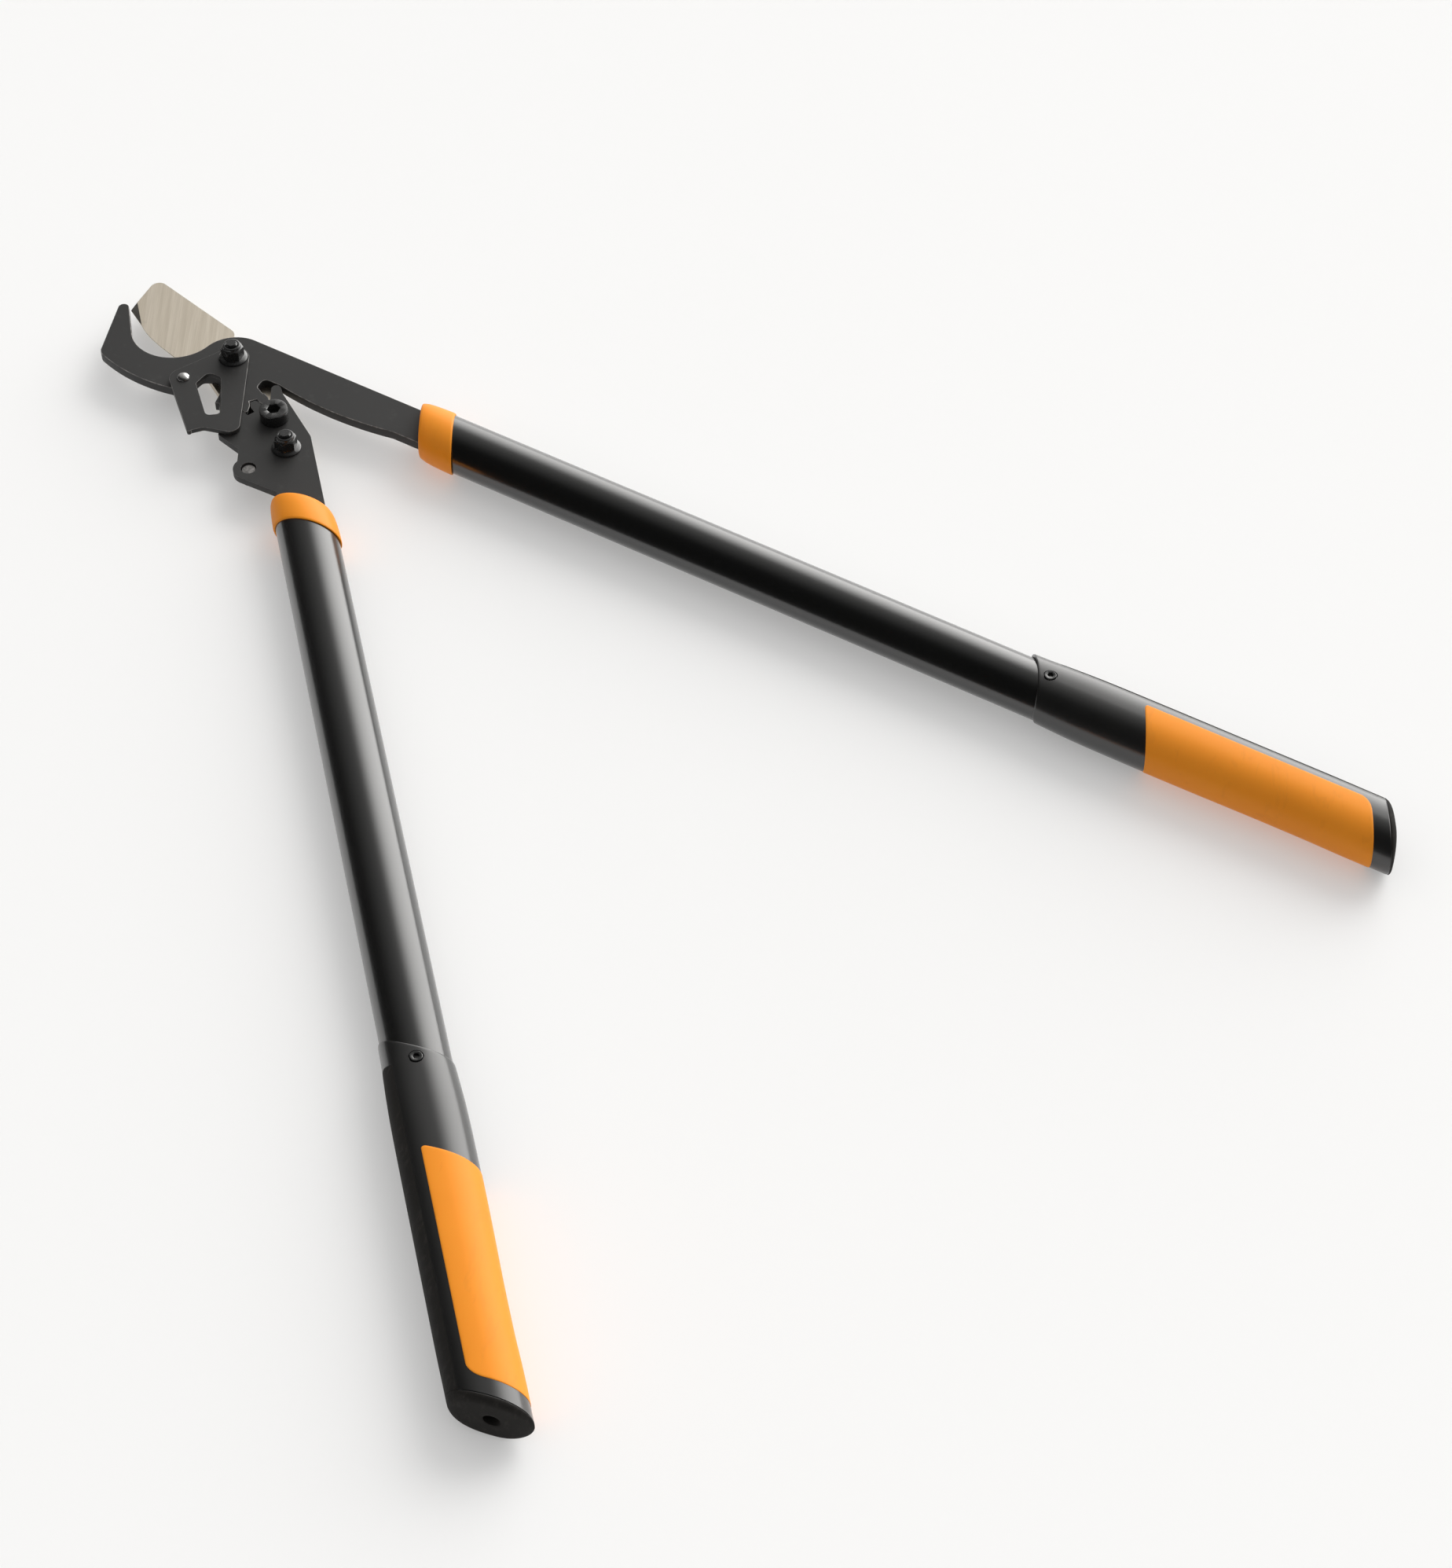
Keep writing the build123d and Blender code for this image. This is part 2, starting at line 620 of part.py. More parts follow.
def grip_solid(inset=0.0):
    return loft([grip_section(*station, inset) for station in grip_stations])


def handle_inlay():
    """The soft inlay that wraps over the palm side of the grip."""
    corners = between_cuts(inlay_start, inlay_start_slope, inlay_end, inlay_end_slope, inlay_edge)
    radii = (inlay_front_radius, inlay_rear_radius, inlay_rear_radius, inlay_front_radius)
    window = plate(rounded_polygon(corners, radii), -cut_reach, 2 * cut_reach)
    return (grip_solid() - grip_solid(inlay_thickness)) & window


def handle_grip(inlay):
    """The sleeve over the tube's end, with the inlay's recess and a hanging hole."""
    sleeve = grip_solid() & slanted_block(grip_start, grip_start_slope, grip_end, grip_end_slope)
    rim = sleeve.edges().sort_by(Axis.X)[-1]
    sleeve = fillet(rim, grip_end_radius)
    sleeve -= inlay
    sleeve -= oval_bar(tube_half_width, tube_half_height, tube_start, tube_end)
    sleeve -= disc(screw_head_radius, screw_seat, cut_reach, screw_place)
    bore = Plane.YZ.offset(grip_end - hang_bore_depth) * Pos(hang_bore_offset, 0) * Circle(hang_bore_radius)
    return sleeve - extrude(bore, cut_reach)


def screw_stem():
    """The thread of the screw through the tube's wall."""
    bottom = tube_half_height - tube_wall - screw_end
    return disc(screw_radius, bottom, screw_seat - bottom, screw_place)


def screw_head():
    return disc(screw_head_radius, screw_seat, screw_head_height, screw_place)


def handle_screw():
    top = screw_seat + screw_head_height
    head = chamfer(screw_head().edges().group_by(Axis.Z)[-1], screw_head_edge)
    head -= hexagon(screw_hex, top - screw_hex_depth, screw_hex_depth, screw_place)
    return head + screw_stem()


def shared_pieces():
    """The pieces that are the same in both handles."""
    inlay = handle_inlay()
    return {
        "tube": handle_tube(),
        "grip": handle_grip(inlay),
        "inlay": inlay,
        "screw": handle_screw(),
    }


def handle_pieces(side, shared, arm, put):
    """The six pieces of one handle, put in place and named after their side."""
    pieces = {"collar": handle_collar(arm), "insert": handle_insert(arm), **shared}
    return {f"{side}_{name}": put(solid) for name, solid in pieces.items()}


def put_on_hook(solid):
    return Pos(collar_start, handle_offset, 0) * mirror(solid, about=Plane.XZ)


def put_on_lever(solid):
    x, y = lever_place(0.0, 0.0)
    return Pos(x, y, 0) * Rot(0, 0, handle_angle) * solid


# ---------------------------------------------------------------- whole tool
def whole_tool():
    """Every piece by its name, about the main pivot."""
    origin = (0.0, 0.0)
    far = lever_pivot
    nut_end = nut_height + nut_collar_height + thread_end
    main_seat = blade_bottom - slide_gap
    lever_seat = lever_top + slide_gap
    spacer = lever_bottom - slide_gap - blade_top
    pieces = {
        "hook_plate": hook_plate(),
        "guide_plate": guide_plate(),
        "guide_rivet": guide_rivet(),
        "main_bolt": pivot_bolt(main_shank_radius, hook_top, main_seat, guide_top + nut_end, origin),
        "main_washer": washer(main_seat, main_shank_radius, origin),
        "main_nut": lock_nut(guide_top, origin),
        "blade": blade(),
        "lever_bolt": pivot_bolt(lever_shank_radius, lever_seat, blade_bottom, lever_seat + nut_end, far),
        "lever_washer": washer(blade_bottom, lever_shank_radius, far),
        "lever_spacer": washer(blade_top + spacer, lever_shank_radius, far, spacer),
        "lever_nut": lock_nut(lever_seat, far),
        "gear_plate": gear_plate(),
        "stop_cap": stop_cap(),
        "lobe_pin": lobe_pin(),
    }
    hook_arm = (-arm_half_width, arm_half_width, hook_bottom, hook_top)
    lever_arm = (lever_arm_low, lever_arm_top, lever_bottom, lever_top)
    shared = shared_pieces()
    pieces.update(handle_pieces("hook", shared, hook_arm, put_on_hook))
    pieces.update(handle_pieces("lever", shared, lever_arm, put_on_lever))
    return pieces


def to_bottom_centre(pieces):
    """The move that brings the bottom centre of the whole tool to the origin."""
    boxes = [solid.bounding_box() for solid in pieces.values()]
    low_x, high_x = min(b.min.X for b in boxes), max(b.max.X for b in boxes)
    low_y, high_y = min(b.min.Y for b in boxes), max(b.max.Y for b in boxes)
    low_z = min(b.min.Z for b in boxes)
    return Pos(-(low_x + high_x) / 2, -(low_y + high_y) / 2, -low_z)


def main():
    os.makedirs("parts", exist_ok=True)
    pieces = whole_tool()
    move = to_bottom_centre(pieces)
    for name, solid in pieces.items():
        export_step(move * solid, f"parts/{name}.step")


if __name__ == "__main__":
    main()
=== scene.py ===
"""Geared two-handed pruning shears on a pale floor: the look of every piece."""
import bmesh
import bpy
import json
from math import atan2, copysign, cos, pi, radians, sin, sqrt
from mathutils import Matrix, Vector


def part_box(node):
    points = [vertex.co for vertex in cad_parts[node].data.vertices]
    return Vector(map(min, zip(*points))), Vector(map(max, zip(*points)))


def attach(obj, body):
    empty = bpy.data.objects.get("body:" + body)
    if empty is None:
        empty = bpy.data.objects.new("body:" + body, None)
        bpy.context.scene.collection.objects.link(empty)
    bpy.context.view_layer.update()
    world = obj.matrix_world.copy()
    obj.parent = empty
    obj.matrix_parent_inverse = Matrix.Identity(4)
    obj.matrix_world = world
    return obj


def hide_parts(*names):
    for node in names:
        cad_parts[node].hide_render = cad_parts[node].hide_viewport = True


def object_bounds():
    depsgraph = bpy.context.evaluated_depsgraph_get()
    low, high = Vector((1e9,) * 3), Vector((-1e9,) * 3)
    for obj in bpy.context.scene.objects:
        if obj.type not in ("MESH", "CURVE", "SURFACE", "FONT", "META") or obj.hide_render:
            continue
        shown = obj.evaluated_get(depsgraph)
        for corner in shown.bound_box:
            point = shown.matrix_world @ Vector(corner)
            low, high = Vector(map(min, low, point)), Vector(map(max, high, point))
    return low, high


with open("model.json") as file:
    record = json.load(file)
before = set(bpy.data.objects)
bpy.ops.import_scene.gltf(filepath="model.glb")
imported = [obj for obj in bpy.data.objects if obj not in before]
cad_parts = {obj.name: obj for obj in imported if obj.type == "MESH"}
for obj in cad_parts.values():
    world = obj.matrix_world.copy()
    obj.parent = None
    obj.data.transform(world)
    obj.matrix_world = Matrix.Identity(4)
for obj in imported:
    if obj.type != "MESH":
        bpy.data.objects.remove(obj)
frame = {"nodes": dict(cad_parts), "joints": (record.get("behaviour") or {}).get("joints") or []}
cad_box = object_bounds()

MM = 0.001

# ---------------------------------------------------------------- places from the frame
joints = {joint["name"]: joint for joint in frame["joints"]}
main_pivot = Vector(joints["blade_pivot"]["pos_m"])
far_pivot = Vector(joints["lever_pivot"]["pos_m"])
floor_height = cad_box[0][2]

# ---------------------------------------------------------------- handle sizes, millimetres
COLLAR_FROM_PIVOT = 106.9       # along the hook handle
COLLAR_FROM_LEVER = 41.8        # along the lever handle
LEVER_AXIS_OFFSET = 1.4
HANDLE_ANGLE = radians(-46.5)   # lever handle from the hook handle
CUT_SLOPE = 0.55                # slant of the cuts at a handle's front
TUBE = (14.35, 11.65)
TUBE_WALL = 1.6
TUBE_START, TUBE_END = 8.0, 425.0
GRIP_START, GRIP_START_SLOPE = 336.8, 0.56
GRIP_DISH = 2.4                 # how far the middle of the grip's front edge is set back
GRIP_END, GRIP_END_SLOPE = 516.0, 0.58
INLAY_START, INLAY_START_SLOPE = 393.3, 0.54
INLAY_END, INLAY_END_SLOPE = 504.4, 0.55
INLAY_EDGE = -6.8               # across the handle, on the outer side of the axis
PAD_EDGE = -11.6                # edge of the rubber pad on the outer side
PAD_START = 351.0
RIM_DEPTH = 3.4                 # the rounded rim at the grip's end
RIM_CROWN = 1.9                 # how far the end face falls away towards the palm side's rim
SCREW = (345.0, -0.9)
SCREW_SEAT = 11.3
HANG_HOLE = (-0.4, 3.2, 16.0)   # place across, radius, depth

# place, palm side, outer side and upper half widths of the grip
GRIP_STATIONS = (
    (318.0, 14.6, 15.2, 12.3),
    (338.0, 14.9, 15.5, 12.5),
    (352.0, 15.6, 16.1, 12.9),
    (368.0, 16.2, 16.5, 13.3),
    (392.0, 16.3, 16.6, 13.45),
    (425.0, 16.0, 16.6, 13.5),
    (455.0, 15.5, 16.6, 13.5),
    (480.0, 15.4, 16.6, 13.5),
    (498.0, 15.7, 16.4, 13.5),
    (530.0, 15.6, 16.2, 13.5),
)
PALM_POWER, OUTER_POWER = 2.1, 2.6


# ---------------------------------------------------------------- shader expressions
class Value:
    """A shader socket that ordinary arithmetic works on."""

    def __init__(self, finish, socket):
        self.finish = finish
        self.socket = socket

    def math(self, operation, *others):
        values = {i: v for i, v in enumerate((self, *others))}
        return self.finish.node("ShaderNodeMath", {"operation": operation}, values)

    def __add__(self, other):
        return self.math("ADD", other)

    def __sub__(self, other):
        return self.math("SUBTRACT", other)

    def __rsub__(self, other):
        return self.finish.node("ShaderNodeMath", {"operation": "SUBTRACT"}, {0: other, 1: self})

    def __mul__(self, other):
        return self.math("MULTIPLY", other)

    def __truediv__(self, other):
        return self.math("DIVIDE", other)

    def __pow__(self, other):
        return self.math("POWER", other)

    def ramp(self, low, high):
        """0 at low and 1 at high, smooth between."""
        settings = {"interpolation_type": "SMOOTHSTEP"}
        values = {"Value": self, "From Min": low, "From Max": high}
        return self.finish.node("ShaderNodeMapRange", settings, values)

    __radd__ = __add__
    __rmul__ = __mul__


class Finish:
    """A material whose nodes are made by expressions."""

    def __init__(self, name, **constants):
        self.material = bpy.data.materials.new(name)
        self.material.use_nodes = True
        self.tree = self.material.node_tree
        self.shader = self.tree.nodes["Principled BSDF"]
        for socket, value in constants.items():
            self.shader.inputs[socket.replace("_", " ")].default_value = value
        self.place = self.node("ShaderNodeTexCoord", {}, {}, "Object")

    def node(self, kind, settings, values, output=0):
        made = self.tree.nodes.new(kind)
        for name, value in settings.items():
            setattr(made, name, value)
        for key, value in values.items():
            if isinstance(value, Value):
                self.tree.links.new(value.socket, made.inputs[key])
            else:
                made.inputs[key].default_value = value
        return Value(self, made.outputs[output])

    def noise(self, scale, detail=3.0, roughness=0.55, place=None, distortion=0.0):
        values = {"Vector": place or self.place, "Scale": scale, "Detail": detail}
        values.update({"Roughness": roughness, "Distortion": distortion})
        return self.node("ShaderNodeTexNoise", {}, values, "Fac")

    def stretched(self, angle, scale):
        """Object coordinates turned about Z and then stretched, for brushing and streaks."""
        values = {"Vector": self.place, "Rotation": (0, 0, angle), "Scale": scale}
        return self.node("ShaderNodeMapping", {"vector_type": "TEXTURE"}, values)

    def mix(self, amount, first, second):
        """A colour between two colours."""
        return self.node("ShaderNodeMix", {"data_type": "RGBA"}, {0: amount, 6: first, 7: second}, 2)

    def bump(self, height, distance, strength=1.0, normal=None):
        values = {"Height": height, "Distance": distance, "Strength": strength}
        if normal:
            values["Normal"] = normal
        return self.node("ShaderNodeBump", {}, values)

    def shade(self, **links):
        for socket, value in links.items():
            self.tree.links.new(value.socket, self.shader.inputs[socket.replace("_", " ")])
        return self.material


def grey(level, warmth=0.0):
    """A nearly neutral colour, warmer with a positive warmth."""
    return (level * (1 + warmth), level, level * (1 - warmth), 1.0)


# ---------------------------------------------------------------- finishes
def coated_steel():
    """Black coated plate: satin, with faint cloudy wear and fine grain."""
    f = Finish("coated_steel", Metallic=0.0, IOR=1.5)
    clouds = f.noise(28, 5)
    grain = f.noise(2600, 2)
    rubbed = f.noise(170, 6, 0.7).ramp(0.55, 0.85)
    scratch = f.noise(60, 4, 0.6, f.stretched(0.5, (1, 22, 1))).ramp(0.66, 0.80)
    base = f.mix(clouds, grey(0.014, 0.03), grey(0.023, 0.03))
    base = f.mix(rubbed * 0.25 + scratch * 0.12, base, grey(0.085, 0.03))
    return f.shade(
        Base_Color=base,
        Roughness=0.46 + clouds * 0.12 - rubbed * 0.08 + grain * 0.05,
        Normal=f.bump(grain * 0.6 + clouds * 0.4, 0.00006, 0.5),
    )


def worn_edge():
    """The edge of a coated plate, where the coating is rubbed to grey."""
    f = Finish("worn_edge", Metallic=0.0, IOR=1.5)
    rub = f.noise(240, 5, 0.7).ramp(0.35, 0.70)
    chips = f.noise(900, 3, 0.6).ramp(0.60, 0.70)
    base = f.mix(rub, grey(0.075, 0.03), grey(0.26, 0.05))
    base = f.mix(chips * 0.6, base, grey(0.48, 0.03))
    return f.shade(
        Base_Color=base,
        Metallic=chips * 0.7,
        Roughness=0.42 - rub * 0.10,
        Normal=f.bump(rub + chips * 0.5, 0.00005, 0.5),
    )


def blade_steel():
    """Ground blade steel, warm grey with fine brushing."""
    f = Finish("blade_steel", Metallic=1.0, Anisotropic=0.0)
    across = f.stretched(radians(30.8), (1, 30, 1))
    fine = f.noise(1300, 4, 0.6, across)
    broad = f.noise(330, 4, 0.65, across)
    clouds = f.noise(22, 4)
    stain = f.noise(75, 6, 0.65).ramp(0.60, 0.80)
    base = f.mix(broad.ramp(0.3, 0.7), (0.74, 0.66, 0.54, 1), (0.90, 0.82, 0.70, 1))
    base = f.mix(fine.ramp(0.35, 0.65) * 0.30, base, (0.66, 0.58, 0.47, 1))
    base = f.mix(clouds * 0.3, base, (0.80, 0.72, 0.60, 1))
    base = f.mix(stain * 0.3, base, (0.40, 0.35, 0.30, 1))
    return f.shade(
        Base_Color=base,
        Roughness=0.36 + fine * 0.10 + stain * 0.06,
        Normal=f.bump(fine + broad * 0.5, 0.00004, 0.5),
    )


def blade_facet_painted_dark():
    """Freshly ground steel of the bevel and the tip's facet; its colour darker than the flat is a painted
    dark reflection.
    """
    f = Finish("blade_facet_painted_dark", Metallic=1.0)
    lines = f.noise(1500, 3, 0.6, f.stretched(radians(58), (1, 20, 1)))
    # the dark steel colours here are a painted dark reflection, not the steel's own tone
    base = f.mix(lines, (0.20, 0.185, 0.165, 1), (0.34, 0.32, 0.29, 1))
    return f.shade(Base_Color=base, Roughness=0.34 + lines * 0.12, Normal=f.bump(lines, 0.00004, 0.5))


def bright_steel():
    """Polished steel of the rivet, pins and spacer."""
    f = Finish("bright_steel", Metallic=1.0)
    marks = f.noise(700, 4, 0.6)
    base = f.mix(marks, grey(0.62, 0.01), grey(0.82, 0.01))
    return f.shade(Base_Color=base, Roughness=0.20 + marks * 0.10, Normal=f.bump(marks, 0.00003, 0.4))


def black_fastener():
    """Glossy black finished steel of bolts, nuts and screws."""
    f = Finish("black_fastener", Metallic=0.0, IOR=1.6, Coat_Roughness=0.08)
    marks = f.noise(520, 5, 0.65)
    scuff = f.noise(1400, 3, 0.6).ramp(0.62, 0.75)
    base = f.mix(scuff * 0.4, grey(0.010), grey(0.07, 0.03))
    return f.shade(
        Base_Color=base,
        Roughness=0.20 + marks * 0.12 + scuff * 0.15,
        Coat_Weight=0.6 - scuff * 0.5,
        Normal=f.bump(marks, 0.00005, 0.5),
    )


def tube_lacquer():
    """Black lacquered tube with a trace of orange peel."""
    f = Finish("tube_lacquer", Metallic=0.0, IOR=1.5, Coat_Roughness=0.17, Coat_IOR=1.65)
    peel = f.noise(900, 2, 0.5)
    clouds = f.noise(16, 4)
    specks = f.noise(1900, 2, 0.5).ramp(0.70, 0.78)
    base = f.mix(clouds, grey(0.0025), grey(0.0045, 0.03))
    base = f.mix(specks * 0.15, base, grey(0.06, 0.03))
    return f.shade(
        Base_Color=base,
        Roughness=0.30 + clouds * 0.06 + specks * 0.1,
        Coat_Weight=0.95 - clouds * 0.2,
        Normal=f.bump(peel, 0.00005, 0.25),
    )


def orange_moulding(name, soft):
    """Satin orange moulding; the soft one is a little rougher, with painted shade of faint creases as darker
    streaks.
    """
    f = Finish(name, Metallic=0.0, IOR=1.38, Subsurface_Weight=0.08, Subsurface_Scale=0.004)
    f.shader.inputs["Subsurface Radius"].default_value = (1.0, 0.35, 0.1)
    grain = f.noise(3200, 2, 0.5)
    clouds = f.noise(35, 4)
    # darker streaks: painted shade of faint creases, with no folds in the mesh
    crease_shade = f.noise(90, 5, 0.6, f.stretched(0.4, (0.6, 2.5, 1)), 0.8).ramp(0.58, 0.66)
    base = f.mix(clouds, (0.88, 0.27, 0.008, 1), (0.94, 0.31, 0.014, 1))
    base = f.mix(crease_shade * (0.14 if soft else 0.04), base, (0.62, 0.20, 0.012, 1))
    return f.shade(
        Base_Color=base,
        Roughness=(0.46 if soft else 0.40) + grain * 0.10 + clouds * 0.05,
        Normal=f.bump(grain * 0.5 + clouds * 0.2, 0.00006, 0.5),
    )


def grip_shell():
    """Satin black hard plastic of the grip's top and front."""
    f = Finish("grip_shell", Metallic=0.0, IOR=1.5, Coat_Roughness=0.22, Coat_IOR=1.6)
    grain = f.noise(2400, 2, 0.5)
    clouds = f.noise(40, 4)
    rubs = f.noise(120, 6, 0.7, f.stretched(0.2, (0.5, 2.0, 1))).ramp(0.62, 0.82)
    base = f.mix(clouds, grey(0.005, 0.02), grey(0.009, 0.03))
    base = f.mix(rubs * 0.2, base, grey(0.05, 0.04))
    return f.shade(
        Base_Color=base,
        Roughness=0.36 + clouds * 0.10 + rubs * 0.12,
        Coat_Weight=0.8 - rubs * 0.35,
        Normal=f.bump(grain * 0.5 + clouds * 0.3, 0.00006, 0.4),
    )


def grip_pad():
    """Matte black rubber of the pad on the outer side and the end, dusty and mottled."""
    f = Finish("grip_pad", Metallic=0.0, IOR=1.30)
    grain = f.noise(2100, 4, 0.7)
    mottle = f.noise(150, 6, 0.7, f.stretched(0.0, (0.5, 1.3, 1)))
    dust = mottle.ramp(0.50, 0.72)
    base = f.mix(mottle, grey(0.009, 0.09), grey(0.017, 0.10))
    base = f.mix(dust * 0.35 + grain * 0.1, base, grey(0.045, 0.10))
    return f.shade(
        Base_Color=base,
        Roughness=0.70 + grain * 0.15,
        Normal=f.bump(grain * 0.6 + mottle * 0.6, 0.00014, 0.6),
    )


def nylon():
    f = Finish("nylon", Metallic=0.0, IOR=1.5)
    grain = f.noise(1500, 3)
    return f.shade(
        Base_Color=f.mix(grain, grey(0.018), grey(0.030)),
        Roughness=0.5 + grain * 0.1,
        Normal=f.bump(grain, 0.00005, 0.4),
    )


def floor_paint():
    """A white sweep, lit a little from behind as a light table is."""
    f = Finish("floor_paint", Metallic=0.0, Emission_Strength=0.30, Emission_Color=(1, 0.995, 0.985, 1))
    clouds = f.noise(3, 2)
    base = f.mix(clouds, grey(0.610, 0.002), grey(0.622, 0.002))
    return f.shade(Base_Color=base, Roughness=0.8 + clouds * 0.02)


finishes = {
    "coated_steel": coated_steel(),
    "worn_edge": worn_edge(),
    "blade_steel": blade_steel(),
    "blade_facet_painted_dark": blade_facet_painted_dark(),
    "bright_steel": bright_steel(),
    "black_fastener": black_fastener(),
    "tube_lacquer": tube_lacquer(),
    "orange_collar": orange_moulding("orange_collar", False),
    "orange_inlay": orange_moulding("orange_inlay", True),
    "grip_shell": grip_shell(),
    "grip_pad": grip_pad(),
    "nylon": nylon(),
}


# ---------------------------------------------------------------- mesh helpers
def add_piece(name, mesh, body, slot, node, *looks):
    """A finished piece: its materials, the body it rides on and the node it stands for."""
    piece = bpy.data.objects.new(name, mesh)
    bpy.context.scene.collection.objects.link(piece)
    # clearing the materials also forgets which face has which, so that is put back
    kept = [min(polygon.material_index, len(looks) - 1) for polygon in mesh.polygons]
    mesh.materials.clear()
    for look in looks:
        mesh.materials.append(finishes[look])
    mesh.polygons.foreach_set("material_index", kept)
    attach(piece, body)
    if node:
        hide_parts(node)
    return piece


def smooth(mesh, angle=radians(32)):
    """Smooth shading, with edges sharper than the angle kept sharp."""
    mesh.polygons.foreach_set("use_smooth", [True] * len(mesh.polygons))
    mesh.set_sharp_from_angle(angle=angle)


def skin(name, rings, cap_start=True, cap_end=True, loop=False):
    """A closed skin over rings of equally many points; loop joins the last ring to the first."""
    count = len(rings[0])
    bm = bmesh.new()
    rows = [[bm.verts.new(point) for point in ring] for ring in rings]
    if loop:
        rows.append(rows[0])
    for a, b in zip(rows, rows[1:]):
        for i in range(count):
            j = (i + 1) % count
            bm.faces.new((a[i], a[j], b[j], b[i]))
    if cap_start and not loop:
        bm.faces.new(rows[0])
    if cap_end and not loop:
        bm.faces.new(rows[-1])
    bmesh.ops.recalc_face_normals(bm, faces=bm.faces)
    mesh = bpy.data.meshes.new(name)
    bm.to_mesh(mesh)
    bm.free()
    smooth(mesh)
    return mesh


def turned(name, centre, profile, count=96):
    """A body turned about Z from radii and heights; a radius may be a function of the angle."""
    return skin(name, turned_rings(centre, profile, count))


def turned_rings(centre, profile, count):
    rings = []
    for radius, height in profile:
        ring = []
        for i in range(count):
            a = 2 * pi * i / count
            r = radius(a) if callable(radius) else radius
            ring.append(centre + Vector((r * cos(a), r * sin(a), height)) * MM)
        rings.append(ring)
    return rings


def hexagon(flats, turn=0.0, limit=1e9):
    """The radius of a hexagon at an angle, no more than a limit."""
    def radius(a):
        part = (a - turn + pi / 6) % (pi / 3) - pi / 6
        return min(flats / 2 / cos(part), limit)
    return radius


def bevelled_copy(node, width, angle=radians(40), edge_look=True):
    """A copy of a CAD node's mesh with its edges rounded; the rounded faces take material 1."""
    source = frame["nodes"][node].data
    mesh = source.copy()
    mesh.name = node + "_look"
    bm = bmesh.new()
    bm.from_mesh(mesh)
    bmesh.ops.remove_doubles(bm, verts=bm.verts, dist=1e-6)
    bmesh.ops.dissolve_limit(bm, angle_limit=radians(1.5), verts=bm.verts, edges=bm.edges)
    bm.to_mesh(mesh)
    bm.free()
    holder = bpy.data.objects.new("holder", mesh)
    bpy.context.scene.collection.objects.link(holder)
    bevel = holder.modifiers.new("round", "BEVEL")
    bevel.width = width * MM
    bevel.segments = 3
    bevel.limit_method = "ANGLE"
    bevel.angle_limit = angle
    bevel.use_clamp_overlap = True
    bevel.harden_normals = False
    if edge_look:
        mesh.materials.clear()
        mesh.materials.append(finishes["coated_steel"])
        mesh.materials.append(finishes["worn_edge"])
        bevel.material = 1
    graph = bpy.context.evaluated_depsgraph_get()
    finished = bpy.data.meshes.new_from_object(holder.evaluated_get(graph))
    finished.name = node + "_look"
    bpy.data.objects.remove(holder)
    smooth(finished, radians(24))
    for polygon in finished.polygons:
        if abs(polygon.normal.z) > 0.9999:
            polygon.use_smooth = False
    return finished


# ---------------------------------------------------------------- handles
class Handle:
    """A handle's own axes: x along it from the collar's front, y towards the palm side, z up."""

    def __init__(self, side, origin, angle, palm):
        self.side = side
        self.body = side + "_side"
        self.origin = origin
        self.along = Vector((cos(angle), sin(angle), 0))
        self.across = Vector((-sin(angle), cos(angle), 0)) * palm

    def point(self, x, y, z):
        return self.origin + (self.along * x + self.across * y + Vector((0, 0, z))) * MM

    def named(self, piece):
        return f"{self.side}_{piece}"


hook_axis = (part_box("hook_tube")[0][1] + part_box("hook_tube")[1][1]) / 2
hook_origin = Vector((main_pivot.x + COLLAR_FROM_PIVOT * MM, hook_axis, main_pivot.z))
along_lever = Vector((cos(HANDLE_ANGLE), sin(HANDLE_ANGLE), 0))
across_lever = Vector((-sin(HANDLE_ANGLE), cos(HANDLE_ANGLE), 0))
lever_origin = far_pivot + (along_lever * COLLAR_FROM_LEVER + across_lever * LEVER_AXIS_OFFSET) * MM
handles = [
    Handle("hook", hook_origin, 0.0, -1),
    Handle("lever", lever_origin, HANDLE_ANGLE, 1),
]


def oval_ring(handle, x, slope, half_width, half_height, count=128):
    ring = []
    for i in range(count):
        a = 2 * pi * i / count
        y = half_width * cos(a)
        ring.append(handle.point(x + slope * y, y, half_height * sin(a)))
    return ring


def slot_ring(handle, x, slope, low, high, bottom, top, count=128):
    """A ring round a rectangular slot, its points at the same angles as an oval's."""
    middle_y, middle_z = (low + high) / 2, (bottom + top) / 2
    half_y, half_z = (high - low) / 2, (top - bottom) / 2
    ring = []
    for i in range(count):
        a = 2 * pi * i / count
        reach = min(half_y / max(abs(cos(a)), 1e-9), half_z / max(abs(sin(a)) * 0.25, 1e-9))
        y = max(-half_y, min(half_y, reach * cos(a)))
        z = max(-half_z, min(half_z, reach * sin(a) * 0.25))
        ring.append(handle.point(x + slope * (middle_y + y), middle_y + y, middle_z + z))
    return ring


def tube_piece(handle):
    outer = TUBE
    inner = (TUBE[0] - TUBE_WALL, TUBE[1] - TUBE_WALL)
    stations = [TUBE_START + (TUBE_END - TUBE_START) * i / 24 for i in range(25)]
    slopes = [CUT_SLOPE * (1 - i / 24) for i in range(25)]
    rings = [oval_ring(handle, x, s, *outer) for x, s in zip(stations, slopes)]
    rings += [oval_ring(handle, x, s, *inner) for x, s in zip(stations[::-1], slopes[::-1])]
    name = handle.named("tube_look")
    mesh = skin(name, rings, loop=True)
    add_piece(name, mesh, handle.body, "black_tube", handle.named("tube"), "tube_lacquer")


